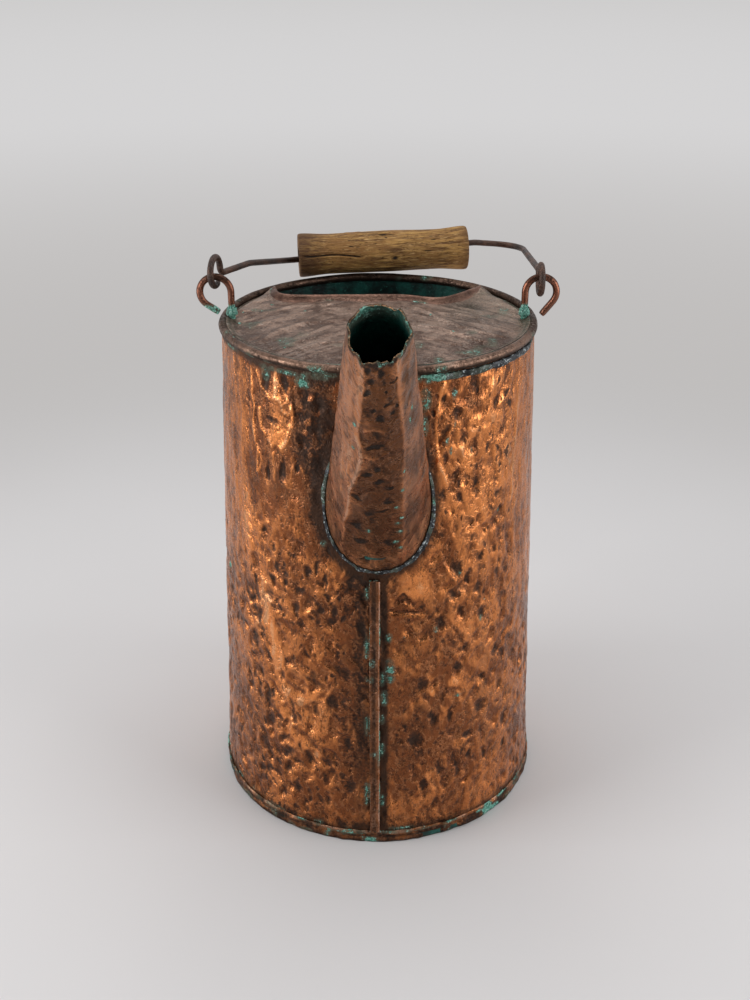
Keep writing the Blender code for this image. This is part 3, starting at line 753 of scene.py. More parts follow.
def spout_frame():
    """Middle, axis, and the two cross directions of the spout (right, and down its front)."""
    middle = np.array((0.0, -wall_radius(SPOUT_HEIGHT), SPOUT_HEIGHT))
    axis = np.array((0.0, -math.sin(SPOUT_LEAN), math.cos(SPOUT_LEAN)))
    front = np.array((0.0, -math.cos(SPOUT_LEAN), -math.sin(SPOUT_LEAN)))
    return middle, axis, np.array((1.0, 0.0, 0.0)), front


def spout_spot(station, turn, out=0.0):
    """A point of the spout's outside: along its axis, and round it from the front to the right."""
    middle, axis, right, front = spout_frame()
    radius = SPOUT_FOOT_RADIUS - TAPER * station + out
    way = np.sin(turn)[..., None] * right + np.cos(turn)[..., None] * front
    return middle + np.asarray(station)[..., None] * axis + np.asarray(radius)[..., None] * way


def spout_foot(turn, out, off):
    """Stations at which the spout, set out by out, meets the wall set out by off."""
    low = np.full(turn.shape, -0.1)
    high = np.full(turn.shape, 0.1)
    for _ in range(50):
        middle = (low + high) / 2
        spot = spout_spot(middle, turn, out)
        inside = np.hypot(spot[..., 0], spot[..., 1]) < wall_radius(spot[..., 2]) + off
        low = np.where(inside, middle, low)
        high = np.where(inside, high, middle)
    return high


def foot_outline():
    """The spout's foot drawn on the flattened wall."""
    turn = np.linspace(0.0, math.tau, 73)
    spot = spout_spot(spout_foot(turn, 0.0, 0.0), turn)
    return list(zip(np.arctan2(spot[:, 0], -spot[:, 1]) * WALL_GIRTH, spot[:, 2]))


WALL_CREASES = (
    # ridge lines on the wall, each with a painted highlight along it: height of the ridge and its width in
    # mm, then degrees and mm up
    (0.8, 0.9, ((-50, 309), (-49, 290), (-48, 284), (-49, 275), (-48, 265), (-46.5, 260), (-47, 245))),
    (0.6, 0.7, ((-47, 309), (-45, 301), (-40.5, 294), (-36, 295))),
    (0.7, 2.0, ((-37.5, 312), (-37.3, 306), (-37, 300), (-38, 296))),
    (0.7, 1.1, ((-36.5, 305), (-34, 300), (-32, 296))),
    (0.6, 0.9, ((-36, 295), (-34.5, 293), (-34.5, 289.5), (-32, 287.5), (-30.3, 292))),
    (0.6, 1.7, ((-30.3, 293), (-30.4, 283), (-32, 273), (-35, 266))),
    (0.6, 1.3, ((-45, 286), (-45, 281), (-44, 274), (-39, 265))),
    (0.3, 1.3, ((-38.5, 262), (-38.9, 255), (-38, 250), (-38.4, 244))),
    (0.3, 1.0, ((-31, 262), (-30.4, 256), (-31.2, 250))),
    (0.4, 1.0, ((-29.5, 261), (-27, 256), (-25, 249))),
    (0.5, 0.9, ((-46.5, 261), (-44.5, 254), (-46, 246))),
    (0.7, 1.2, (
        (22, 308), (21, 300), (19.5, 290), (20, 283), (20.5, 275), (20.3, 262), (22.5, 252), (24, 246),
    )),
    (0.4, 1.2, ((59, 300), (58.5, 284), (56, 254), (54.5, 222))),
    (0.5, 1.2, ((43, 309), (42.5, 303), (41.5, 297))),
    (0.5, 1.2, ((49, 306), (48.5, 298), (47.5, 290))),
    (0.5, 1.4, ((-17, 196), (-14.5, 190), (-13.5, 182))),
    (0.5, 1.3, ((-11, 196), (-13, 186), (-16, 175))),
)
WALL_PAINTED_HIGHLIGHTS = (
    # painted highlights, smooth bright places: degrees, mm up, half width and half height in mm, lean in
    # degrees, amount
    (-36.8, 276, 7.5, 9.5, 0, 0.75), (-37.2, 303, 2.4, 7.0, 0, 0.8), (-32.3, 246, 4.0, 5.5, 0, 0.6),
    (-39, 289, 5.0, 6.0, 0, 0.15), (-43, 240, 4.0, 9.0, 0, 0.4),
    (-23.4, 300, 2.0, 2.4, 30, 1.5), (-24.2, 285, 1.8, 2.8, 35, 1.6), (-25.4, 278.5, 2.0, 2.2, 40, 1.4),
    (-27.2, 293, 1.3, 2.4, 20, 1.2), (-31.8, 302, 1.5, 2.4, 20, 1.0), (-20.5, 291, 1.2, 2.0, 30, 1.1),
    (-44, 163, 6.0, 24.0, -8, 0.70), (-39, 126, 6.0, 24.0, -10, 0.70), (-35, 95, 6.0, 22.0, -10, 0.60),
    (-52, 210, 6.0, 24.0, 0, 0.30), (-35, 84, 4.0, 18.0, -30, 0.55), (-24, 63, 3.6, 18.0, -38, 0.55),
    (-28, 99, 3.0, 6.0, 0, 0.5), (-25, 88, 3.0, 10.0, -35, 0.5), (-22, 103, 5.0, 3.0, 0, 0.5),
    (-9, 81, 3.0, 10.0, -15, 0.55), (-28, 46, 4.2, 13.0, -70, 0.45), (-40, 30, 6.0, 5.6, 0, 0.45),
    (11, 99, 3.0, 8.6, 5, 0.7), (14, 105, 3.0, 5.0, 0, 0.6), (19, 109, 2.0, 3.6, 0, 0.9),
    (14, 130, 1.9, 2.8, 0, 0.9), (27, 114, 4.8, 5.2, 0, 0.5), (23, 91, 2.8, 10.0, 5, 0.5),
    (20, 134, 5.0, 4.2, 0, 0.5), (25, 63, 4.6, 6.0, 0, 0.5), (29, 65, 5.4, 3.8, 0, 0.5),
    (20, 41, 3.2, 4.6, 0, 0.5), (18, 48, 2.6, 4.4, 0, 0.6), (14, 54, 2.0, 3.8, 0, 0.7),
    (32, 262, 5.0, 20.0, 10, 0.45), (26, 232, 4.0, 14.0, 0, 0.40), (38, 228, 6.0, 16.0, 0, 0.30),
    (13.5, 186, 7.0, 10.0, 15, 0.45), (20, 203, 5.0, 8.0, 25, 0.45), (33, 160, 5.0, 18.0, 0, 0.25),
    (44, 150, 6.0, 24.0, 0, 0.25),
)
WALL_HOLLOWS = (
    # hollows without a stain of their own: degrees, mm up, half width, half height, depth in mm
    (-25.5, 302, 5.5, 6.0, 1.2),
    (-20.5, 297, 4.5, 6.5, 1.0),
    (-27.5, 289, 4.5, 6.0, 1.1),
    (-21.5, 283, 4.0, 5.5, 1.1),
    (-25.5, 272, 4.5, 6.0, 1.1),
    (-20.0, 262, 3.6, 6.0, 1.0),
    (-24.0, 250, 4.0, 7.0, 0.9),
    (-20.5, 240, 3.5, 7.0, 0.8),
)
WALL_SPOTS = (
    # stained dents: degrees, mm up, half width and half height in mm, lean in degrees
    (-42, 303, 3.6, 8.0, 8), (-33.5, 304, 3.6, 8.5, 0), (-38.6, 281, 7.5, 2.0, 0),
    (-41.4, 249, 2.2, 7.0, 0), (-34.4, 253, 3.2, 7.0, 0), (-28.6, 258, 2.3, 5.0, 0),
    (27, 290, 3.8, 3.2, 15), (23.5, 280, 2.8, 4.6, 25), (34, 267, 4.6, 4.8, 0), (23.5, 263, 2.4, 4.6, 0),
    (34, 305, 4.8, 4.0, 0), (46, 231, 3.8, 3.0, 25), (48, 220, 3.2, 3.8, 0), (-42, 167, 5.0, 4.8, 0),
    (-51, 157, 3.2, 4.4, 10), (-36, 112, 3.3, 4.4, -15), (-25, 190, 3.8, 4.4, 0), (-21, 194, 2.2, 5.9, 10),
    (-18, 186, 2.1, 6.7, 8), (-10, 185, 2.8, 6.7, 20), (-15, 178, 1.8, 7.4, 30), (-6, 158, 2.7, 5.2, 0),
    (-52, 93, 3.4, 3.9, 0), (-43, 94, 3.4, 7.2, -5), (-32, 93, 3.0, 6.5, -10), (-42, 74, 7.0, 6.5, 0),
    (-32, 85, 4.4, 6.0, -30), (-36, 65, 4.0, 3.9, 0), (-43, 50, 3.6, 5.6, -25), (-34, 56, 8.0, 4.2, -25),
    (-30, 51, 5.6, 2.3, 0), (-22, 95, 4.0, 5.6, -20), (-16, 103, 5.6, 6.6, 0), (-11, 74, 4.2, 5.6, 0),
    (-47, 32, 4.8, 4.1, 0), (-36, 24, 3.2, 4.6, 0), (-10, 41, 4.8, 6.4, 0), (-18, 57, 5.0, 4.4, 0),
    (-24, 57, 3.4, 6.6, -25), (-30, 32, 4.2, 4.6, -20), (-27, 22, 2.8, 4.0, 0), (-18, 29, 2.6, 5.2, -15),
    (28, 191, 4.4, 5.6, 0), (27, 175, 5.6, 4.2, 0), (38, 175, 4.0, 5.6, 0), (22, 157, 4.8, 5.0, 0),
    (39, 156, 4.0, 4.4, 0), (47, 123, 5.0, 5.2, 20), (51, 117, 3.2, 4.5, 10), (32, 135, 3.0, 4.3, 0),
    (29, 123, 3.6, 4.3, 0), (40, 108, 3.5, 3.2, 0), (39, 87, 6.6, 5.3, 0), (26, 88, 2.2, 6.7, 5),
    (33, 70, 4.7, 2.4, -15), (52, 65, 5.6, 5.6, 0), (52, 46, 2.4, 5.6, 0), (41, 49, 2.8, 4.0, 0),
    (19, 90, 3.3, 5.6, 0), (15, 116, 5.4, 5.4, 0), (13, 76, 6.0, 5.6, 0), (29, 47, 2.9, 6.6, 0),
    (22, 50, 3.4, 4.6, 0), (16, 40, 2.8, 6.0, 0), (34, 54, 2.4, 4.6, 0),
)
WALL_TARNISH_AND_SHADE = (
    # broad darker places, tarnish together with painted shade, and below zero brighter places of painted
    # light: degrees, mm up, half width, half height in mm, amount
    (-21.0, 290, 16.0, 38.0, 1.45),
    (-19.0, 245, 12.0, 34.0, 1.45),
    (-9.0, 185, 14.0, 18.0, 0.55),
    (-9.5, 110, 10.0, 80.0, 0.75),
    (7.5, 100, 11.0, 60.0, 0.55),
    (17.0, 120, 14.0, 40.0, 0.35),
    (24.0, 60, 34.0, 42.0, 0.55),
    (17.0, 290, 5.0, 26.0, 0.75),
    (13.0, 184, 9.0, 13.0, -0.35),
    (-36.0, 200, 16.0, 30.0, 0.22),
    (36.0, 252, 18.0, 42.0, -0.25),
    (-66.0, 200, 16.0, 110.0, 0.05),
    (68.0, 200, 16.0, 110.0, 0.05),
)
WALL_GREEN = (
    # patches of green crust: degrees, mm up, half width and half height in mm
    (-42.1, 309.0, 3.2, 4.6),
    (-26.5, 308.0, 4.6, 3.0),
    (-31.0, 312.2, 21.0, 0.9),
    (26.4, 301.0, 1.5, 2.8),
    (26.5, 283.5, 0.9, 1.6),
    (23.8, 273.8, 1.0, 2.2),
    (25.2, 267.7, 1.0, 2.0),
    (33.9, 264.7, 0.7, 1.4),
    (-19.0, 211.0, 1.8, 1.8),
    (-71.1, 163.5, 2.0, 2.6),
    (20.5, 153.0, 1.5, 2.2),
    (3.6, 150.0, 2.0, 3.0),
    (4.2, 128.0, 2.6, 8.0),
    (2.2, 108.0, 2.0, 5.0),
    (38.7, 151.7, 1.4, 2.0),
    (47.7, 219.6, 0.9, 1.2),
    (29.2, 187.9, 0.9, 1.2),
    (29.0, 102.5, 2.4, 1.2),
    (16.5, 312.5, 7.0, 2.6),
    (16.0, 300.0, 3.4, 6.0),
    (15.5, 285.0, 2.2, 6.0),
)
ROOF_DENT = (
    # the small roof-shaped dent right of the seam and the groove under it: height in mm, degrees and mm up
    (0.7, ((4.5, 172.0), (8.7, 183.0), (13.2, 171.0))),
    (-0.9, ((5.8, 172.8), (8.7, 179.6), (12.0, 172.0))),
    (-1.0, ((7.0, 174.0), (8.7, 175.8), (10.6, 173.4))),
    (-0.9, ((4.0, 168.2), (9.0, 167.2), (15.4, 165.4))),
    (0.6, ((4.4, 165.4), (15.2, 162.8))),
)
HAMMERING = (
    # rounds of hammer blows on the wall: seed, spacing and depth in mm, darkness
    (5, 12.0, 1.45, 0.75),
    (11, 8.0, 1.00, 0.90),
    (17, 5.0, 0.28, 1.00),
)


def wall_corner_shade(x, height, outline):
    """Painted shade in the wall's corners: round the spout, beside the seam, under the rim and over the
    flange.
    """
    theta = x / WALL_GIRTH
    grime_and_shade = np.where(x < 0, 1.6, 1.1) * bell(outline, 0.0065)
    right_gap = bell(x - SEAM_OFFSET - 0.0052, 0.0028)
    left_gap = bell(x - SEAM_OFFSET + 0.0045, 0.0085) * (x < SEAM_OFFSET)
    grime_and_shade += np.maximum(1.1 * right_gap, 0.50 * left_gap) * smooth(0.205, 0.19, height)
    under_rim = 0.9 + 0.9 * smooth(-0.85, -0.60, theta) * smooth(-0.10, -0.30, theta)
    grime_and_shade += under_rim * bell(RIM_HEIGHT - 0.006 - height, 0.0032)
    grime_and_shade += 0.7 * bell(height - FLANGE_HEIGHT, 0.0050)
    return grime_and_shade


def wall_green(grid, x, height, spots):
    """Green crust on the wall: patches, and thin lines under the rim, beside the seam and at the foot."""
    green = np.zeros(x.shape)
    for angle, up, wide, tall in WALL_GREEN:
        block, far = oval(*grid, *on_wall(angle, up), *mm(wide, tall), 0.0)
        far = far + 0.25 * unrest(spots[block], 0.004, 70)
        dab(green, block, unit(1.35 - far))
    green *= np.clip(0.62 + 0.75 * unrest(spots, 0.0034, 23), 0.1, 1.0)
    under_rim = bell(RIM_HEIGHT - 0.0062 - height, 0.0011)
    patchy = smooth(0.0, 0.5, unrest(spots, 0.012, 21))
    green = np.maximum(green, 0.7 * under_rim * patchy * (np.abs(x / WALL_GIRTH) < 1.4))
    beside_seam = bell(np.abs(x - SEAM_OFFSET) - 0.0046, 0.0011) * smooth(0.2, 0.18, height)
    green = np.maximum(green, 0.7 * beside_seam * smooth(0.15, 0.6, unrest(spots, 0.010, 22)))
    at_foot = bell(height - FLANGE_HEIGHT - 0.0008, 0.0012)
    return np.maximum(green, 0.6 * at_foot * smooth(0.2, 0.6, unrest(spots, 0.009, 23)))


def wall_blows(grid, x, height):
    """How the hammering lifts the wall's sheet, and the stains that it leaves."""
    lift = np.zeros(x.shape)
    stain = np.zeros(x.shape)
    for seed, spacing, depth, dark in HAMMERING:
        fields = hammered(grid, seed, spacing / 1000, depth / 1000, dark)
        pressed, darkened = ragged(fields, grid, x, height, 0.22 * spacing / 1000, seed + 50)
        lift += pressed
        stain = np.maximum(stain, darkened)
    return lift, stain


def wall_dents(grid, x, height):
    """The wall's own dents: how they lift its sheet, and their stains."""
    lift = np.zeros(x.shape)
    stain = np.zeros(x.shape)
    for angle, up, wide, tall, depth in WALL_HOLLOWS:
        blow(lift, stain, grid, on_wall(angle, up), mm(wide, tall), 0.2, depth / 1000, 0.3)
    for angle, up, wide, tall, lean in WALL_SPOTS:
        size = (0.82 * wide / 1000, 1.12 * tall / 1000)
        blow(lift, stain, grid, on_wall(angle, up), size, -math.radians(lean), 0.0008, 1.0)
    return ragged((lift, stain), grid, x, height, 0.0013, 61)


def wall_painted_highlights(grid, spots):
    """Painted highlights on the wall: smooth bright places."""
    glow = np.zeros(spots.shape[:2])
    for angle, up, wide, tall, lean, amount in WALL_PAINTED_HIGHLIGHTS:
        block, far = oval(*grid, *on_wall(angle, up), *mm(wide, tall), -math.radians(lean))
        far = far + 0.3 * unrest(spots[block], 0.006, 69)
        dab(glow, block, amount * smooth(1.25, 0.55, far))
    return glow


def wall_tarnish_and_shade(x, height, spots, panel):
    """Broad darker places on the wall, tarnish together with painted shade, and brighter places of painted
    light.
    """
    tone = panel * (0.62 + 0.35 * unrest(spots, 0.016, 70))
    uneven = 0.35 * unrest(spots, 0.014, 63)
    for angle, up, wide, tall, amount in WALL_TARNISH_AND_SHADE:
        middle = on_wall(angle, up)
        far = np.hypot((x - middle[0]) * 1000 / wide, (height - middle[1]) * 1000 / tall)
        tone += amount * smooth(1.5, 0.35, far + uneven)
    return tone


def wall_marks(grid, theta, height):
    """How the wall's sheet lifts, and where it is stained, painted with highlights, dirty and painted with
    shade, and green.
    """
    x, height = np.broadcast_arrays(theta * WALL_GIRTH, height)
    theta = x / WALL_GIRTH
    spots = flat(x, height)
    lift, stain = wall_blows(grid, x, height)
    stain = stain - 0.14 + 0.18 * unrest(spots, 0.026, 8)
    stain -= 0.10 * smooth(1.15, 0.9, np.abs(theta))
    # the upper right is more spotted, and the lower left more streaked
    spotted = smooth(0.28, 0.38, theta) * smooth(1.02, 0.92, theta) * smooth(0.14, 0.22, height)
    stain += spotted * (0.10 + 0.9 * (stain - 0.30))
    streaky = smooth(-0.95, -0.85, theta) * smooth(-0.12, -0.30, theta) * smooth(0.25, 0.21, height)
    stain += streaky * (0.06 + 0.6 * (stain - 0.30))
    lift += 0.0007 * unrest(spots, 0.040, 3) + 0.00045 * unrest(spots, 0.018, 4)

    # smoother places: upright bands at both sides, a panel left of the spout, a bare spot right of the seam
    calm = np.where(theta < 0, smooth(0.89, 0.95, -theta), smooth(0.90, 1.02, theta))
    calm = calm * smooth(1.9, 1.6, np.abs(theta))
    calm = calm * np.where(theta < 0, smooth(0.14, 0.22, height), smooth(0.10, 0.19, height))
    panel = smooth(-0.93, -0.87, theta) * smooth(-0.24, -0.30, theta) * smooth(0.195, 0.240, height)
    bare = np.hypot((x - 0.024) / 0.010, (height - 0.188) / 0.014) + 0.3 * unrest(spots, 0.008, 65)
    shaded = np.hypot((x + 0.039) / 0.010, (height - 0.278) / 0.040)
    still = np.maximum.reduce([calm, 0.8 * smooth(1.3, 0.6, bare), smooth(1.3, 0.8, shaded), 0.85 * panel])
    streak = unrest(flat(x, 0.07 * height), 0.0026, 9)
    lift *= 1.0 - 0.72 * still
    lift += 0.00022 * calm * streak
    stain = stain * (1.0 - 0.75 * still) + 0.62 * calm * unit(streak)

    dented, darkened = wall_dents(grid, x, height)
    lift += dented
    stain = np.maximum(stain, darkened)
    ridge_highlight = np.zeros(x.shape)
    bend_x, bend_y = (0.0010 * unrest(spots, 0.007, seed) for seed in (66, 67))
    swell = 1.0 + 0.6 * unrest(spots, 0.008, 68)
    for ridge, width, line in WALL_CREASES:
        far = along_line(x + bend_x, height + bend_y, [on_wall(*spot) for spot in line])
        rise = bell(far * 1000, 0.85 * width * swell)
        lift += ridge / 1000 * rise
        # a painted highlight along each ridge
        ridge_highlight = np.maximum(ridge_highlight, min(1.0, ridge / 0.6) * rise)
    # painted highlights in the bright places, which also clear the stains there
    glow = wall_painted_highlights(grid, spots)
    stain *= 1.0 - 0.8 * ridge_highlight
    stain *= 1.0 - 0.5 * np.minimum(glow, 1.0)
    for rise, line in ROOF_DENT:
        far = along_line(x + bend_x / 2, height + bend_y / 2, [on_wall(*spot) for spot in line])
        line_shape = bell(far, 0.0017)
        lift += rise / 1000 * line_shape
        stain = np.maximum(stain * (1.0 - 0.7 * line_shape), (rise < 0) * 0.80 * line_shape)

    # tone: tarnish with painted shade, and painted light where it is below zero; it adds to the grime and
    # painted shade mark and to the stains, and takes from the shine
    tone = wall_tarnish_and_shade(x, height, spots, panel)
    outline = along_line(x, height, foot_outline())
    grime_and_shade = wall_corner_shade(x, height, outline)
    sooty = smooth(0.21, 0.25, height) * smooth(-0.1, 0.5, unrest(spots, 0.008, 64))
    grime_and_shade += np.clip(tone, 0.0, 2.0) * (0.34 + 0.20 * sooty) * smooth(0.9, 0.3, np.maximum(glow, ridge_highlight))
    green = wall_green(grid, x, height, spots)

    fade = smooth(WALL_FOOT, 0.016, height) * smooth(RIM_HEIGHT - 0.0055, RIM_HEIGHT - 0.012, height)
    beside_foot = smooth(0.0, 0.005, outline)
    lift *= fade * (0.25 + 0.75 * beside_foot)
    # painted light: faces that look up or outwards are painted brighter, and faces turned the other way
    # darker
    up_slope = -np.gradient(lift, grid[1], axis=0)
    out_slope = -np.sign(x) * np.gradient(lift, grid[0], axis=1)
    slope_light = np.clip(1.5 * up_slope + out_slope, -0.7, 0.7) * (0.25 + 0.55 * smooth(0.24, 0.13, height))
    # the shine mark is painted light and shade here: raised places lighter, sunk places darker, painted
    # highlights along the ridges and in the bright places, a faint painted sheen on the side bands, darker
    # where the tone is darker
    shine = slope_light + 0.35 * np.clip(lift / 0.0008, -0.9, 1.0)
    shine = shine + (0.65 + 0.6 * panel) * ridge_highlight + glow + 0.15 * calm - 0.8 * tone
    eased = np.maximum(smooth(-0.05, 0.12, theta), smooth(0.14, 0.09, height))
    stain = np.clip((stain + 0.12 * tone) * (1.0 - 0.16 * eased), 0.0, 1.2)
    return np.clip(lift, DEEPEST, HIGHEST), {"stain": stain, "shine": shine, "grime_and_shade": grime_and_shade, "green": green}


def make_wall(finish, lining, rim_finish):
    """The hammered wall with its rolled rim, one sheet, pierced behind the spout."""
    front = np.linspace(-WALL_FRONT, WALL_FRONT, WALL_COLUMNS[0])
    back = np.linspace(WALL_FRONT, math.tau - WALL_FRONT, WALL_COLUMNS[1])[1:-1]
    theta = np.sort(wrapped(np.concatenate([front, back])))
    under = roll_meets(0.0, ROLL_RADIUS)
    neck = ROLL_HEIGHT + ROLL_RADIUS * math.sin(under)
    heights = np.linspace(WALL_FOOT, neck, WALL_ROWS)
    grid = (theta * WALL_GIRTH, heights)
    lift, marks = wall_marks(grid, theta[None, :], heights[:, None])
    outer = round_the_can(wall_radius(heights)[:, None] + lift, heights[:, None], theta[None, :])

    sway = hoop(theta)
    rim_out = 0.00030 * unrest(sway, 0.35, 31) + 0.00012 * unrest(sway, 0.09, 32)
    rim_up = 0.00035 * unrest(sway, 0.40, 33) + 0.00010 * unrest(sway, 0.07, 34)
    hollow = ROLL_RADIUS - SHEET
    over = roll_arc(ROLL_RADIUS, under, CURL_END, ROLL_ROWS + 1)
    within = roll_arc(hollow, CURL_END, roll_meets(SHEET, hollow), ROLL_LINING_ROWS)
    radii = np.concatenate([over[0][1:], within[0]])
    levels = np.concatenate([over[1][1:], within[1]])
    hold = np.concatenate([smooth(0.0, 5.0, np.arange(1.0, ROLL_ROWS + 1.0)), np.ones(ROLL_LINING_ROWS)])
    hold[-4:] = (0.75, 0.5, 0.25, 0.0)
    roll = round_the_can(
        radii[:, None] + rim_out * hold[:, None], levels[:, None] + rim_up * hold[:, None], theta[None, :]
    )
    inner_heights = np.linspace(neck - 0.002, WALL_FOOT, WALL_LINING_ROWS)
    depth = SHEET + 0.0017 * smooth(neck, neck - 0.02, inner_heights) * smooth(WALL_FOOT, 0.02, inner_heights)
    inner_radii = wall_radius(inner_heights) - depth
    inner = round_the_can(inner_radii[:, None], inner_heights[:, None], theta[None, :])

    marks = padded(marks, len(roll) + len(inner))
    roll_end = len(outer) + ROLL_ROWS
    rim = slice(len(outer), roll_end)
    around = np.broadcast_to(theta, (ROLL_ROWS, len(theta)))
    at = hoop(around, levels[:ROLL_ROWS, None] * 30)
    over_roll = levels[:ROLL_ROWS, None] - ROLL_HEIGHT + 0 * around
    # painted light on the rim: a painted highlight along the roll's top, strongest at the front left, and
    # painted shade under the roll, across the front and on its back
    behind = smooth(0.9, 1.4, np.abs(around))
    lit = bell(around + 0.62, 0.16) * smooth(-0.001, 0.001, over_roll)
    marks["stain"][rim] = 0.24 + 0.30 * unrest(at, 0.12, 35) - 0.3 * lit
    marks["shine"][rim] = 0.4 * unrest(at, 0.15, 36) + 0.2 * (over_roll > 0.001) + 0.2 * lit - 0.5 * behind
    marks["grime_and_shade"][rim] = 0.9 * smooth(0.001, -0.0022, over_roll) + 0.45 * behind
    marks["grime_and_shade"][rim] += 0.30 * smooth(1.0, 0.7, np.abs(around))
    marks["green"][rim] = 0.5 * smooth(0.3, 0.8, unrest(at, 0.10, 37))
    points = np.concatenate([outer, roll, inner])
    row = np.arange(len(points))
    slots = np.where(row >= roll_end, 1, np.where(row >= len(outer), 2, 0))
    wall = skin("hammered_wall", points, (finish, lining, rim_finish), lining=slots, marks=marks)
    pierce(wall, spout_plug())
    settle(wall, "can", "body_wall")


def spout_plug():
    """The shape of the hole behind the spout."""
    turn = all_round(HOLE_COLUMNS, 0.0)
    stations = np.array((-0.075, 0.045))
    return spout_spot(stations[:, None] + 0 * turn, turn[None, :] + 0 * stations[:, None], -SHEET)


def pierce(piece, points):
    """Cut one shape out of a piece for good."""
    tool = skin("hole_shape", points, (), ring=False)
    modifier = piece.modifiers.new("hole", "BOOLEAN")
    modifier.operation = "DIFFERENCE"
    modifier.object = tool
    bpy.context.view_layer.update()
    cut = bpy.data.meshes.new_from_object(piece.evaluated_get(bpy.context.evaluated_depsgraph_get()))
    piece.modifiers.clear()
    old = piece.data
    piece.data = cut
    bpy.data.meshes.remove(old)
    bpy.data.objects.remove(tool)


BASE_BUMPS = (
    # knocks in the base's flange: angle round the can and half width in radians, mm out
    (0.56, 0.045, 1.0), (0.34, 0.05, -1.8), (0.42, 0.03, 0.7), (0.49, 0.03, -1.5), (-0.2, 0.05, 0.6),
)


def make_base(finish, lining):
    """The bottom pan with its battered flange."""
    theta = all_round(BASE_COLUMNS)
    out_low = wall_radius(0.0) + GAP + SHEET
    out_high = wall_radius(FLANGE_HEIGHT) + GAP + SHEET
    in_high = wall_radius(FLANGE_HEIGHT) + GAP
    profile = [(0.020, 0.0, 0.0), (0.060, 0.0, 0.0), (0.098, 0.0, 0.0), (out_low - 0.0012, 0.0, 0.3)]
    profile += [(out_low - 0.0004, 0.0003, 0.7), (out_low - 0.0001, 0.0009, 1.0)]
    for height in np.linspace(0.0016, FLANGE_HEIGHT - 0.0005, 12):
        share = height / FLANGE_HEIGHT
        profile.append((out_low + (out_high - out_low) * share, height, 1.0))
    profile += [(out_high - 0.0003, FLANGE_HEIGHT, 1.0), (in_high, FLANGE_HEIGHT, 0.4)]
    profile += [(wall_radius(0.004) + GAP, 0.004, 0.0), (wall_radius(SHEET) + GAP, SHEET, 0.0)]
    profile += [(0.098, SHEET, 0.0), (0.060, SHEET, 0.0), (0.020, SHEET, 0.0)]
    radius, height, free = (np.array(column)[:, None] for column in zip(*profile))
    around = theta[None, :] + 0 * radius
    spots = hoop(around, 12 * height)
    dents = 0.00075 * unrest(spots, 0.10, 41) + 0.00050 * unrest(spots, 0.035, 42) - 0.0005
    groove = bell(height - 0.0046, 0.0010) * smooth(-0.6, 0.2, unrest(spots, 0.12, 49))
    dents -= 0.0007 * groove
    low = bell(height - 0.0025, 0.0030)
    bump = sum(out / 1000 * bell(around - middle, width) * low for middle, width, out in BASE_BUMPS)
    edge = 0.0005 * unrest(spots, 0.12, 43) * (height > 0.006) * free
    points = round_the_can(radius + (dents + bump) * free, height + edge, around)
    crust = smooth(0.1, 0.5, unrest(spots, 0.055, 44)) * (height > 0.0004)
    thick = bell(around + 0.13, 0.20) + bell(around - 0.75, 0.25)
    green = unit(crust * (0.25 + 0.75 * thick)) * free
    line = bell(height - FLANGE_HEIGHT, 0.0014) * smooth(-0.1, 0.4, unrest(spots, 0.07, 45))
    # painted shade: the flange darker towards the floor and in its groove; a painted highlight: a bright band
    # along its top
    grime_and_shade = 0.65 * smooth(0.004, 0.0, height) + 0.5 * groove + 0.2 + 0.3 * unrest(spots, 0.05, 48)
    shine = 0.6 * unrest(spots, 0.07, 47) + 0.8 * (height > 0.0068) - 0.4 * groove - 0.1
    marks = {
        "stain": unit(0.42 + 0.5 * unrest(spots, 0.05, 46)),
        "shine": np.clip(shine, -0.8, 0.9),
        "grime_and_shade": unit(grime_and_shade),
        "green": np.maximum(green, 0.75 * line * free),
    }
    inside = np.arange(len(profile)) >= len(profile) - 5
    pan = skin("foot_pan", points, (finish, lining), lining=inside, ring=False, marks=marks)
    settle(pan, "can", "base_pan")


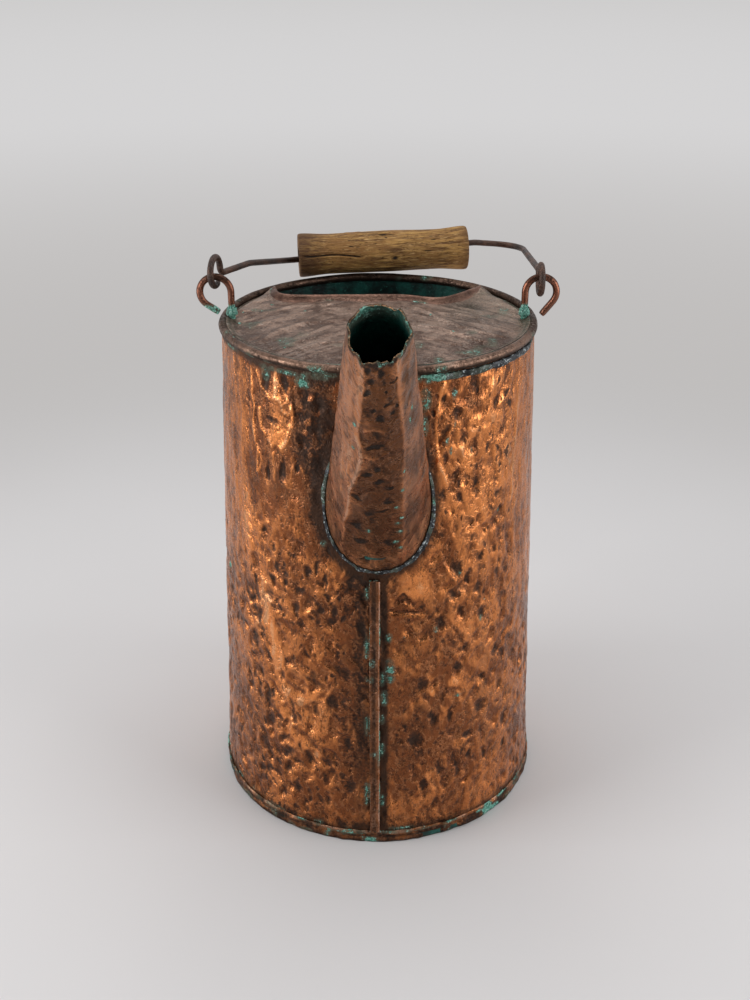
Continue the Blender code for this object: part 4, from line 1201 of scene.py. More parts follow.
def make_seam(finish):
    """The strip over the wall's seam, a ridge along each edge."""
    half = SEAM_WIDTH / 2
    section = np.array(
        (
            (-half, 0.0), (-half, 0.0008), (-half + 0.0003, 0.0015), (-half + 0.0007, 0.0016),
            (-half + 0.0011, 0.0011), (-0.0012, 0.0008), (0.0002, 0.0009), (0.0009, 0.0013),
            (half - 0.0014, 0.0016), (half - 0.0007, 0.0017), (half - 0.0002, 0.0014), (half, 0.0007),
            (half, 0.0),
        )
    )
    low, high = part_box("side_seam_strip")[0][2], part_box("side_seam_strip")[1][2]
    height = np.linspace(low, high, SEAM_ROWS)[:, None]
    across = SEAM_OFFSET + section[None, :, 0] + 0 * height
    spots = flat(across, height)
    wander = 0.0003 * unrest(flat(0 * height, height), 0.03, 51)
    out = section[None, :, 1] * (1.0 + 0.22 * unrest(spots, 0.006, 52))
    back = -(wall_radius(height) + GAP) - out
    points = np.stack([across + wander, back, height + 0 * across], -1)
    aside, proud = section[None, :, 0], section[None, :, 1]
    # a painted highlight along the right ridge, and painted shade in the groove
    right = smooth(0.0019, 0.0025, aside) * (proud > 0.001)
    groove = smooth(-0.0024, -0.0016, aside) * smooth(0.0010, 0.0002, aside)
    side = np.abs(aside) > half - 0.00025
    patchy = smooth(-0.1, 0.35, unrest(spots, 0.012, 56))
    marks = {
        "stain": unit(0.18 + 0.30 * unrest(spots, 0.007, 53) + 0.1 * groove),
        "shine": 0.80 * right - 0.30 * groove + 0.35 * unrest(spots, 0.010, 54),
        "grime_and_shade": unit(0.25 + 0.25 * groove - 0.25 * right + 0.25 * unrest(spots, 0.007, 55)),
        "green": 0.8 * side * patchy + 0.3 * smooth(0.35, 0.7, unrest(spots, 0.006, 57)),
    }
    strip = skin("seam_strip", points, (finish,), ring=False, marks=marks)
    settle(strip, "can", "side_seam_strip")


SPOUT_DARK = (
    # dark spots on the spout: degrees round from its front, mm along, half width and half length in mm
    (-14, 145, 2.6, 2.9), (-20, 136, 2.5, 1.7), (11, 137, 1.3, 1.2), (3, 151, 2.2, 3.0), (23, 144, 3.2, 1.1),
    (31, 146, 1.4, 2.2), (-7, 122, 1.6, 1.6), (20, 120, 1.4, 1.2), (3, 116, 3.0, 2.4), (10, 127, 2.4, 1.4),
    (27, 125, 1.0, 2.3), (-36, 148, 2.2, 2.8), (-60, 141, 1.4, 3.4), (-18, 154, 2.6, 2.8),
    (-1, 160, 2.6, 2.0), (27, 159, 3.0, 1.6), (-6, 89, 5.0, 1.8), (-3, 70, 2.0, 2.4), (-15, 65, 3.4, 2.0),
    (-1, 57, 2.4, 2.0), (17, 52, 1.9, 1.7), (10, 37, 2.4, 3.0), (-29, 38, 1.9, 3.2), (-14, 24, 2.2, 2.4),
    (3, 27, 3.6, 1.1), (-19, -8, 3.6, 3.0), (-12, -27, 1.8, 2.6), (11, -8, 1.4, 2.6), (-25, 7, 2.6, 3.2),
)
SPOUT_GREEN = (
    # green spots on the spout, in the same way
    (27, 18, 1.2, 1.3), (23, 12, 1.3, 1.2), (20, -8, 1.5, 1.4), (-37, 106, 1.2, 1.8), (57, 113, 1.0, 3.0),
    (25, 3, 1.4, 1.3), (24, -15, 1.1, 1.2), (30, 47, 1.0, 1.6), (-12, 5, 1.2, 1.8), (52, 104, 0.8, 2.2),
    (-38, 84, 1.1, 1.8), (22, 30, 1.1, 1.2), (34, 64, 0.9, 1.4), (2, 158, 1.4, 1.0), (21, 160, 1.5, 1.0),
)
SPOUT_RIDGES = (
    # ridges beaten into the spout: height and width in mm, then degrees round and mm along
    (0.7, 1.0, ((-33, 98), (-25, 88), (-23, 78), (-28, 62), (-37, 41), (-37, 20), (-41, 8))),
    (0.5, 0.8, ((-49, 100), (-46, 84), (-48, 74), (-54, 68), (-46, 72), (-42, 78))),
    (0.5, 0.8, ((-46, 72), (-44, 55), (-38, 41))),
    (0.4, 0.9, ((-62, 90), (-58, 60), (-54, 30))),
    (0.4, 1.6, ((-20, 104), (-6, 106), (8, 103))),
    (0.4, 1.6, ((-24, 82), (-8, 79), (10, 83))),
    (-0.5, 1.8, ((-22, 94), (-4, 91), (12, 94))),
    (-0.5, 1.8, ((-26, 38), (-6, 33), (14, 37))),
)
SPOUT_KEELS = (
    # edges between the spout's three facets: mm along, degrees of the left one and of the right one
    (-30, -42, 27), (5, -41, 28), (22, -37, 29), (40, -37, 30), (62, -28, 31), (78, -23, 34), (88, -25, 35),
    (103, -31, 36), (118, -26, 33), (130, -25, 31), (165, -28, 31),
)
SPOUT_TEARS = (
    # tears in the spout's tip: degrees round, width in degrees, depth in mm
    (-30, 10, 7.4), (-12, 9, 4.0), (6, 8, 3.6), (21, 7, 4.6), (-52, 12, 3.6), (-108, 5, 2.0), (44, 14, 1.8),
    (150, 5, 1.4), (100, 6, 1.2),
)
LIP_CORNERS = (
    # corners that the spout's lip is bent between: degrees round, mm out
    (-180, -0.7), (-152, 0), (-128, -1.2), (-108, 0.2), (-84, -1.3), (-64, 0.3), (-44, -0.6), (-20, 0),
    (12, -0.5), (40, 0), (64, -1.0), (88, 0.2), (112, -1.2), (140, 0.2), (160, -0.9), (180, -0.7),
)


def spout_facets(station, degrees):
    """How far the spout's flattened facets lie inside its cone, and where its two front edges run."""
    along, left, right = (np.array(column) for column in zip(*SPOUT_KEELS))
    left, right = (np.interp(station * 1000, along, side) for side in (left, right))
    radius = SPOUT_FOOT_RADIUS - TAPER * station
    depth = np.zeros(degrees.shape)
    for start, end in ((-86.0 + 0 * left, left), (left, right), (right, 88.0 + 0 * right)):
        off = np.radians(degrees - (start + end) / 2)
        half = np.radians((end - start) / 2)
        inside = np.abs(off) < half
        depth = np.where(inside, radius * (np.cos(half) / np.cos(np.where(inside, off, 0.0)) - 1.0), depth)
    return depth, left, right


def spout_tip(turn):
    """How far the torn tip reaches at each place round it."""
    torn = hoop(turn)
    reach = SPOUT_LENGTH - 0.0007 + 0.0006 * unrest(torn, 0.16, 61) + 0.0005 * unrest(torn, 0.06, 62)
    degrees = np.degrees(wrapped(turn))
    for middle, width, depth in SPOUT_TEARS:
        reach = reach - depth / 1000 * bell(degrees - middle, width)
    return reach


def lip_wave(turn):
    """How the spout's lip is bent in between its corners."""
    degrees, bend = zip(*LIP_CORNERS)
    return np.interp(np.degrees(wrapped(turn)), degrees, bend) / 1000


def make_spout(finish, lining):
    """The cone, beaten into soft facets, torn at its tip."""
    turn = all_round(SPOUT_COLUMNS)
    foot = spout_foot(turn, 0.0, GAP)
    tip = spout_tip(turn)
    station = foot + (tip - foot) * np.linspace(0.0, 1.0, SPOUT_ROWS)[:, None]
    around = turn[None, :] + 0 * station
    x = around * SPOUT_GIRTH
    grid = (np.linspace(-math.pi, math.pi, 181) * SPOUT_GIRTH, np.linspace(-0.050, SPOUT_LENGTH, 220))
    lift, stain = hammered(grid, 71, 0.0085, 0.00050, 0.55)
    for angle, up, wide, tall in SPOUT_DARK:
        blow(lift, stain, grid, on_spout(angle, up), mm(wide, tall), 0.3, 0.00045, 1.1 + 0.04 * (up % 9))
    green = np.zeros_like(lift)
    for angle, up, wide, tall in SPOUT_GREEN:
        block, far = oval(*grid, *on_spout(angle, up), *mm(wide, tall), 0.0)
        dab(green, block, unit(1.35 - far))
    lift, stain = ragged((lift, stain), grid, x, station, 0.0016, 75)
    green = sampled(green, grid, x, station)

    degrees = np.degrees(around)
    spots = flat(x, station)
    lift += 0.0007 * unrest(spots, 0.022, 72) + 0.00040 * unrest(spots, 0.009, 73)
    ridges = np.zeros_like(lift)
    for rise, width, line in SPOUT_RIDGES:
        far = along_line(x, station, [on_spout(*spot) for spot in line])
        ridges += rise / 1000 * bell(far * 1000, width)
    facets, left_keel, right_keel = spout_facets(station, degrees)
    crisp = 0.30 + 0.25 * smooth(0.13, 0.09, station)
    lift = (lift + ridges + crisp * facets) * smooth(0.0, 0.02, station - foot)
    lift = lift * smooth(0.0, 0.006, tip - station)
    lift = np.clip(lift, -0.0017, 0.0014)
    lip_bend = lip_wave(around) * smooth(0.012, 0.0, tip - station)
    outer = spout_spot(station, around, lift + lip_bend)
    inner_station = foot + (tip - foot) * np.linspace(1.0, 0.0, SPOUT_LINING_ROWS)[:, None]
    inner_turn = turn[None, :] + 0 * inner_station
    deeper = 0.0010 * smooth(0.0, 0.01, tip - inner_station) * smooth(0.0, 0.02, inner_station - foot)
    inner_out = -SHEET - deeper
    inner_out += lip_wave(inner_turn) * smooth(0.012, 0.0, tip - inner_station)
    inner = spout_spot(inner_station, inner_turn, inner_out)

    centre = smooth(-2, 3, degrees - left_keel) * smooth(3, -4, degrees - right_keel)
    # a painted highlight along the left keel
    keel_highlight = bell(degrees - left_keel, 2.0) * smooth(-0.5, 0.3, unrest(spots, 0.012, 79))
    edge = bell(tip - station, 0.0030)
    stain = stain * (0.25 + 0.75 * centre) + 0.10 * centre + 0.12 * unrest(spots, 0.012, 77)
    torn_green = 0.45 * edge * smooth(0.1, 0.6, unrest(spots, 0.004, 74))
    worn = 0.45 * unrest(spots, 0.016, 172) + 0.35 * unrest(flat(x, 0.2 * station), 0.0035, 171)
    # painted light: raised places and beaten ridges lighter, sunk places darker
    bright = worn + 0.35 * np.clip(lift / 0.0010, -0.8, 1.0)
    bright = bright + 0.6 * np.clip(ridges / 0.0006, -0.6, 1.0) + 0.5 * keel_highlight
    # painted shade where the spout's foot meets the wall, and darker along its torn edge
    marks = {
        "stain": np.clip(stain - 400 * np.clip(ridges, 0.0, 0.001), 0.0, 1.3),
        "shine": bright + 0.40 - 0.62 * centre - 0.25 * smooth(0, 6, degrees - right_keel),
        "grime_and_shade": 0.6 * bell(station - foot, 0.0030) + 1.0 * edge,
        "green": np.maximum.reduce([green, torn_green, 0.05 * smooth(-3, 6, degrees - right_keel)]),
    }
    marks = padded(marks, len(inner))
    lip = bell(tip - inner_station, 0.007) * (0.42 + 0.55 * unrest(inner, 0.005, 78))
    marks["green"][len(outer):] = lip
    points = np.concatenate([outer, inner])
    inside = np.arange(len(points)) >= len(outer)
    spout = skin("cone_spout", points, (finish, lining), lining=inside, marks=marks)
    settle(spout, "can", "spout_cone")


BEAD_SECTION = (
    # the bead round the spout's foot in section: shares of its width and of its thickness
    (0.1, 0.05), (0.4, 0.0), (0.75, 0.0), (1.0, 0.05), (0.85, 0.55), (0.5, 0.95), (0.2, 1.0), (0.08, 0.6),
)
BAND_SECTION = (
    # the band under the rim in section: shares of its height, downwards, and of its thickness
    (0.0, 0.0), (0.02, 0.5), (0.12, 0.95), (0.4, 1.0), (0.7, 0.75), (0.93, 0.35), (1.0, 0.0), (0.5, 0.0),
)
ROOT_SECTION = (
    # the solder at an ear's root in section: shares of its width and of its height
    (0.0, 0.05), (0.8, 0.0), (1.0, 0.12), (0.85, 0.35), (0.55, 0.65), (0.35, 0.9), (0.12, 1.0), (0.0, 0.95),
)


def make_spout_solder(finish):
    """The lumpy bead round the spout's foot."""
    turn = all_round(BEAD_COLUMNS)
    spots = hoop(turn)
    degrees = np.degrees(turn)
    slack = 0.30 + 0.55 * bell(degrees - 75, 40) + 0.45 * bell(degrees + 100, 35)
    width = SPOUT_SOLDER_WIDTH * (slack + 0.16 * unrest(spots, 0.12, 81) + 0.12 * unrest(spots, 0.04, 82))
    thick = SPOUT_SOLDER_THICKNESS * (0.55 + 0.35 * unrest(spots, 0.10, 83) + 0.25 * unrest(spots, 0.035, 84))
    width = np.maximum(width, 0.0005)
    rings = []
    for wide_share, thick_share in BEAD_SECTION:
        out = GAP + width * wide_share
        station = spout_foot(turn, out, GAP + thick * thick_share)
        rings.append(spout_spot(station, turn, out))
    points = np.array(rings)
    crust = unit(0.6 * unrest(spots, 0.09, 85) + 0.30 * (np.cos(turn) < 0.1) - 0.1)
    bead = skin("spout_bead", points, (finish,), marks={"green": np.broadcast_to(crust, points.shape[:2])})
    settle(bead, "can", "spout_solder")


def make_rim_solder(finish):
    """The smeared grey band under the rim at the front right."""
    theta = np.linspace(RIM_SOLDER_FROM, RIM_SOLDER_TO, BAND_ROWS)[:, None]
    spots = hoop(theta)
    top = RIM_HEIGHT - 0.0056
    ends = smooth(RIM_SOLDER_FROM, RIM_SOLDER_FROM + 0.12, theta)
    ends = ends * smooth(RIM_SOLDER_TO, RIM_SOLDER_TO - 0.1, theta)
    tall = 0.0012 + 0.0036 * ends * (0.85 + 0.25 * unrest(spots, 0.07, 91))
    thick = 0.0004 + 0.0011 * ends * (0.8 + 0.35 * unrest(spots, 0.05, 92))
    rows = []
    for down, out in BAND_SECTION:
        height = top - tall * down
        ripple = 0.00025 * unrest(spots + down, 0.03, 93) * (out > 0.2)
        rows.append(round_the_can(wall_radius(height) + GAP + thick * out + ripple, height, theta)[:, 0])
    points = np.stack(rows, 1)
    crust = unit(smooth(0.5, 0.25, theta) * 0.8 + 0.3 * unrest(spots, 0.05, 94))
    marks = {"green": np.broadcast_to(crust, points.shape[:2])}
    band = skin("rim_solder_band", points, (finish,), ring=False, marks=marks)
    settle(band, "can", "rim_solder")


def through(points, steps):
    """A smooth plan curve through points."""
    spots = [Vector(point) for point in points]
    before = [2 * spots[0] - spots[1]] + spots
    after = spots + [2 * spots[-1] - spots[-2]]
    curve = []
    for index in range(len(spots) - 1):
        start, end = spots[index], spots[index + 1]
        leave = (end - before[index]) / 2
        arrive = (after[index + 2] - start) / 2
        for count in range(steps):
            t = count / steps
            curve.append(
                start * (2 * t**3 - 3 * t**2 + 1)
                + leave * (t**3 - 2 * t**2 + t)
                + end * (3 * t**2 - 2 * t**3)
                + arrive * (t**3 - t**2)
            )
    curve.append(spots[-1])
    return np.array([tuple(spot) for spot in curve])


def mouth_edge(steps):
    """The mouth's front edge in plan, from its left corner to its right one."""
    across = HOOD_RADIUS * math.sin(MOUTH_CORNER)
    back = HOOD_RADIUS * math.cos(MOUTH_CORNER)
    return through([(-across, back), *MOUTH_FRONT, (across, back)], steps)


def shifted(path, distance):
    """A plan path moved towards its left side."""
    way = np.gradient(path, axis=0)
    way /= np.linalg.norm(way, axis=1)[:, None]
    return path + np.stack([-way[:, 1], way[:, 0]], -1) * np.reshape(distance, (-1, 1))


HOOD_FOLDS = (
    # folds in the hood: height in mm, width in mm, then plan points in mm
    (1.0, 1.9, ((14, -14), (20, -18), (36, -25), (44, -33), (53, -40), (62, -47))),
    (0.9, 2.2, ((24, 14), (28, 9), (38, -7), (48, -21), (61, -31), (73, -37))),
    (0.6, 2.4, ((33, 5), (44, 5), (57, 2), (70, -8))),
    (0.9, 2.4, ((-20, -31), (-38, -40), (-48, -49), (-57, -61))),
    (0.9, 2.6, ((-20, -10), (-44, -14), (-56, -23), (-69, -45))),
    (0.8, 2.6, ((-22, 16), (-41, 11), (-56, -1), (-72, -14))),
    (0.7, 2.0, ((-20, -48), (-35, -51), (-44, -60))),
    (0.6, 2.4, ((-30, 24), (-52, 20), (-70, 8))),
    (-0.6, 3.0, ((16, -40), (34, -48), (52, -58))),
)
CORNER_RISE = 0.0022         # the hood's peaks at the mouth's corners


def hood_rays(x, y):
    """Places on the hood for its streaks, which fall away wavily to both sides."""
    spots = flat(x, y)
    across = y + 0.85 * np.hypot(x, 0.02)
    across = across + 0.0045 * unrest(spots, 0.030, 109) + 0.0012 * unrest(spots, 0.010, 110)
    return flat(0.72 * across, 0.17 * x)


def hood_height(x, y):
    """Height of the hood's upper face over a place in plan."""
    radius = np.hypot(x, y)
    valley = HOOD_RADIUS - HOOD_LIP_WIDTH
    low = RIM_HEIGHT - HOOD_DROP
    height = low + HOOD_CROWN * (1.0 - np.minimum(radius / valley, 1.0) ** 2)
    lip = unit((radius - valley) / HOOD_LIP_WIDTH)
    height += (HOOD_DROP - HOOD_LIP_DROP) * lip**1.5
    spots = flat(x, y)
    calm = smooth(HOOD_RADIUS, valley - 0.004, radius)
    ray = hood_rays(x, y)
    height += calm * (0.0006 * unrest(spots, 0.030, 101) + 0.00035 * unrest(spots, 0.012, 102))
    height += calm * 0.00030 * unrest(ray, 0.0034, 106)
    for rise, width, line in HOOD_FOLDS:
        far = along_line(x, y, [mm(*spot) for spot in line])
        height += calm * rise / 1000 * bell(far * 1000, width)
    # from each ear back to the mouth's corner the sheet is folded along a straight line
    for side in (-1, 1):
        ear = np.array((side * 0.0895, 0.006))
        corner = np.array((side * 0.0672, 0.0590))
        way = (corner - ear) / np.linalg.norm(corner - ear)
        beside = side * ((x - ear[0]) * way[1] - (y - ear[1]) * way[0])
        ahead = (x - ear[0]) * way[0] + (y - ear[1]) * way[1]
        span = smooth(-0.004, 0.008, ahead)
        inside = smooth(-0.018, -0.0004, beside) * smooth(0.0012, -0.0004, beside)
        height += span * inside * 0.0020
        height -= span * smooth(0.0, 0.0022, beside) * 0.0028
        height += CORNER_RISE * bell(np.hypot(x - corner[0], y - corner[1]), 0.013) * (beside < 0.001)
    return height


def make_hood(finish, lining):
    """The hood: a crowned sheet with soft folds that ends along the mouth."""
    edge_radius = HOOD_RADIUS + 0.0011
    reach = math.pi / 2 - 0.03
    across = edge_radius * np.sin(np.linspace(-reach, reach, HOOD_ROWS))[:, None]
    depth = np.sqrt(edge_radius**2 - across**2)
    mouth = mouth_edge(40)
    corner = mouth[-1, 0]
    back = np.where(np.abs(across) < corner, np.interp(across, mouth[:, 0], mouth[:, 1]), depth)
    share = (1.0 - np.cos(np.linspace(0.0, math.pi, HOOD_COLUMNS))) / 2
    y = -depth + (back + depth) * share[None, :]
    x = across + 0 * y
    top = hood_height(x, y)
    upper = np.stack([x, y, top], -1)
    lower = upper[:, ::-1] - np.array((0.0, 0.0, SHEET))
    spots = flat(x, y)
    radius = np.hypot(x, y)
    ray = hood_rays(x, y)
    patchy = smooth(-0.5, 0.5, unrest(spots, 0.022, 111))
    streak = 0.5 * patchy * unrest(ray, 0.0034, 106)
    streak = streak + 0.4 * unrest(ray, 0.0017, 107) + 0.3 * unrest(ray, 0.0009, 112)
    rough = unrest(spots, 0.011, 103)
    # painted light on the folds: where the sheet rises outwards it is painted lighter, where it falls darker
    painted_fold_light = (top - hood_height(0.97 * x, 0.97 * y)) / 0.0006
    # painted shade in the groove along the rim, which also gathers a green film
    groove = bell(radius - HOOD_RADIUS + 0.001, 0.0024)
    worn = smooth(0.055, 0.085, radius) * smooth(-0.02, -0.06, y) + 0.25 * unrest(spots, 0.016, 108)
    film = 0.10 * smooth(0.015, 0.06, x) * smooth(-0.05, 0.02, y) + 0.12 * groove
    shine = 0.4 * unrest(spots, 0.014, 105) + 0.7 * streak + 0.5 * np.clip(painted_fold_light, -1.0, 1.0) - 0.35 * worn
    marks = {
        "stain": np.clip(0.14 + 0.28 * unrest(spots, 0.020, 104) - 0.30 * streak + 0.20 * worn, 0.0, 0.9),
        "shine": shine,
        "grime_and_shade": 0.6 * groove + 0.15 * unit(rough),
        "green": np.maximum(0.42 * smooth(0.45, 0.85, rough) * smooth(0.04, 0.085, radius), film),
    }
    marks = {key: np.concatenate([value, value[:, ::-1]], 1) for key, value in marks.items()}
    points = np.concatenate([upper, lower], 1)
    inside = np.broadcast_to(np.arange(points.shape[1]) >= len(share), points.shape[:2])
    hood = skin("hood_sheet", points, (finish, lining), lining=inside, ring=False, marks=marks, sharp=50.0)
    settle(hood, "can", "top_hood")


COLLAR_SECTION = (
    # the lip along the mouth in section: shift towards the mouth in mm, share of its rise over the hood
    (-4.8, -0.08), (-3.8, 0.08), (-2.8, 0.26), (-1.9, 0.55), (-1.1, 0.83), (-0.3, 0.98), (0.4, 1.0),
    (1.0, 0.86), (1.3, 0.50), (1.3, -0.10), (1.2, -0.60), (0.2, -0.60), (-2.4, -0.45),
)


def make_collar(finish):
    """The rounded lip along the mouth's front edge, sinking into the hood at each corner."""
    edge = mouth_edge(18)
    radius = np.hypot(edge[:, 0], edge[:, 1])
    edge = edge[radius < HOOD_RADIUS - 0.0004]
    run = run_along(edge)
    spots = flat(run, 0 * run)
    inward = smooth(0.0, 0.016, run) * smooth(0.0, 0.016, run[-1] - run)
    foot = hood_height(edge[:, 0], edge[:, 1])
    top = RIM_HEIGHT + COLLAR_RISE - 0.0005 + 0.0003 * unrest(spots, 0.02, 111)
    rise = (top - foot) * (0.15 + 0.85 * inward)
    wave = 0.0003 * unrest(spots, 0.015, 112)
    rows = []
    for aside, up in COLLAR_SECTION:
        plan = shifted(edge, aside / 1000 * (0.35 + 0.65 * inward) + wave * (up > 0.2))
        level = np.where(aside < -0.5, hood_height(plan[:, 0], plan[:, 1]), foot)
        rows.append(np.column_stack([plan, level + rise * up]))
    points = np.stack(rows, 1)
    across = flat(run[:, None], points[..., 2] * 3)
    aside, share = (np.array(column)[None, :] for column in zip(*COLLAR_SECTION))
    # painted shade along the lip's foot, where green crust also gathers, and a painted highlight along its
    # top
    foot_line = bell(aside + 4.0, 0.9) + 0 * points[..., 2]
    marks = {
        "stain": unit(0.16 + 0.34 * unrest(across, 0.012, 113)),
        "shine": 0.5 * unrest(across, 0.020, 114) + 0.5 * smooth(0.7, 1.0, share) - 0.1,
        "grime_and_shade": 0.35 * foot_line * smooth(-0.2, 0.5, unrest(across, 0.016, 116)),
        "green": 0.55 * foot_line * smooth(0.05, 0.55, unrest(across, 0.010, 115)),
    }
    band = skin("mouth_band", points, (finish,), ring=False, marks=marks)
    settle(band, "can", "mouth_collar")


def arc(middle, radius, start, end, count):
    """Points of a flat arc as (across, up) pairs."""
    angles = np.linspace(start, end, count)
    return [(middle[0] + radius * math.cos(a), middle[1] + radius * math.sin(a)) for a in angles]


def make_ear(name, side, turn, tail, finish, solder):
    """One wire ear, up the inside of the can and round, with the crusted solder at its root."""
    tang = wall_radius(RIM_HEIGHT - EAR_JOG_BOTTOM) - SHEET - GAP - EAR_WIRE / 2
    route = [(tang, RIM_HEIGHT - EAR_TANG), (tang, RIM_HEIGHT - EAR_JOG_BOTTOM)]
    route.append((EAR_LEG, RIM_HEIGHT - EAR_JOG_TOP))
    route += arc((EAR_MIDDLE, RIM_HEIGHT + EAR_LIFT), EAR_LOOP_RADIUS, math.pi, -turn, 40)
    across, up = route[-1]
    route.append((across - tail * math.sin(turn), up - tail * math.cos(turn)))
    path = evenly([(side * a, 0.0, b) for a, b in route], 0.0007)
    points = old_wire(path, EAR_WIRE / 2, (0.985, (0.03, 0.006, 121 + side)), (0.22, 1.2))
    up = points[..., 2] - RIM_HEIGHT
    near_leg = np.maximum(smooth(0.006, 0.004, np.abs(points[..., 0] - side * EAR_LEG)), 0.7 * (side < 0))
    marks = {
        "stain": unit(0.20 + 0.3 * unrest(points, 0.010, 122)),
        "shine": 0.25 * unrest(points, 0.012, 123) + 0.15,
        "grime_and_shade": 0.55 * smooth(0.017, 0.024, up) + 0.15 * unit(unrest(points, 0.008, 128)),
        "green": 0.9 * smooth(0.0078, 0.0055, up + 0.0010 * unrest(points, 0.004, 124)) * near_leg,
    }
    wire = skin(name + "_wire", points, (finish,), ring=False, marks=marks)
    settle(wire, "can", name)

    angles = all_round(ROOT_COLUMNS, 0.0)
    inside = EAR_WIRE / 2 + GAP
    rows = []
    for out, rise in ROOT_SECTION:
        lump = hoop(angles, rise + side)
        radius = inside + EAR_SOLDER_WIDTH * out * (0.62 + 0.12 * unrest(lump, 0.9, 125)) + 0.0001
        height = GAP + (EAR_SOLDER_HEIGHT - GAP) * rise * (0.88 + 0.06 * unrest(lump, 0.9, 126))
        rows.append(hoop(angles, RIM_HEIGHT + height, radius))
    points = np.array(rows) + (side * EAR_LEG, 0.0, 0.0)
    crust = 0.70 + 0.30 * unrest(points, 0.004, 127)
    root = skin(name + "_root", points, (solder,), marks={"green": crust})
    settle(root, "can", name + "_solder")


# The bail and its grip


def bent(corners, radii):
    """A wire's route through corners, each but the ends bent to its radius."""
    route = [corners[0]]
    for index in range(1, len(corners) - 1):
        corner = corners[index]
        back = (corners[index - 1] - corner).normalized()
        on = (corners[index + 1] - corner).normalized()
        half = back.angle(on) / 2
        reach = radii[index - 1] / math.tan(half)
        middle = corner + (back + on).normalized() * (radii[index - 1] / math.sin(half))
        first = corner + back * reach - middle
        last = corner + on * reach - middle
        for part in range(BEND_STEPS + 1):
            route.append(middle + first.slerp(last, part / BEND_STEPS) * radii[index - 1])
    route.append(corners[-1])
    return route


def eye(side, bearing, yaw, start, end):
    """The open ring of a bail eye."""
    points = []
    for angle in np.linspace(start, end, EYE_STEPS):
        along = EYE_RADIUS * math.cos(angle)
        across = side * (EAR_MIDDLE - 0.0003) - side * along * math.sin(yaw)
        back = EYE_PLAY * math.cos(bearing) + along * math.cos(yaw)
        up = PIVOT_HEIGHT + EYE_PLAY * math.sin(bearing) + EYE_RADIUS * math.sin(angle)
        points.append(Vector((across, back, up)))
    return points


def make_bail(finish):
    """The bail's wire: left eye, left arm, the run through the grip, right shoulder, right eye."""
    lean = Vector((0.0, 0.0, 0.0028))
    half = GRIP_AXIS * (GRIP_LENGTH / 2)
    run = (half + lean).normalized() * 0.006
    left_end = GRIP_MIDDLE - half - lean - run
    right_end = GRIP_MIDDLE + half + lean + run
    left = eye(-1, math.radians(50), math.radians(13), EYE_SWEEP, 0.0)
    right = eye(1, math.radians(-40), 0.0, 0.0, -EYE_SWEEP)
    drop = Vector((0.0, 0.0, EYE_BEND))
    left_bend = left[-1] - drop
    bow = left_bend.lerp(left_end, 0.4) + Vector((0.0, 0.0, 0.0031))
    shoulder = Vector((0.0980, 0.1085, RIM_HEIGHT + 0.0157))
    corners = [left[-1], left_bend, bow, left_end, right_end, shoulder, right[0] + drop, right[0]]
    route = left[:-1] + bent(corners, [0.0042, 0.045, 0.018, 0.018, 0.016, 0.0032]) + right[1:]
    wear = (0.945, (0.035, 0.007, 131), (0.02, 0.003, 132))
    points = old_wire(evenly(route, 0.0009), BAIL_WIRE / 2, wear, (0.3, 1.3))
    pivot = np.array((0.0, 0.0, PIVOT_HEIGHT))
    wire = skin("bail_handle", points - pivot, (finish,), ring=False)
    wire.location = pivot
    settle(wire, "bail", "bail_wire")


def grip_radius(station):
    """Radius of the grip at a distance from its middle: flared ends, two necks and a belly."""
    neck = GRIP_LENGTH / 2 - GRIP_NECK_INSET
    far = np.abs(station)
    inner = np.where(far < neck, GRIP_BELLY_RADIUS, GRIP_NECK_RADIUS)
    outer = np.where(far < neck, GRIP_NECK_RADIUS, GRIP_END_RADIUS)
    share = np.where(far < neck, far / neck, (far - neck) / GRIP_NECK_INSET)
    return inner + (outer - inner) * (1.0 - np.cos(math.pi * share)) / 2


GRIP_CRACKS = (
    # cracks along the grip: degrees round, from and to in mm from its middle, width and depth in mm
    (167, -57, -13, 0.55, 1.2),
    (147, -36, -12, 0.22, 0.4),
    (112, -6, 10, 0.60, 0.7),
    (168, 22, 44, 0.22, 0.4),
    (134, 28, 50, 0.25, 0.5),
    (-20, -57, -20, 0.40, 0.7),
    (-130, -40, 10, 0.35, 0.5),
    (60, -57, 0, 0.50, 0.9),
    (30, -10, 57, 0.50, 0.9),
    (-80, -57, -25, 0.40, 0.7),
)
GRIP_KNOTS = (
    # knots in the grip: degrees round, mm from its middle, half length and half width in mm
    (187, 7, 2.6, 1.8), (110, 0, 3.4, 1.4), (70, -20, 3.0, 1.8), (-60, 22, 2.6, 1.6),
)
GRIP_SPIRAL = 0.22          # degrees that the grain turns in each millimetre


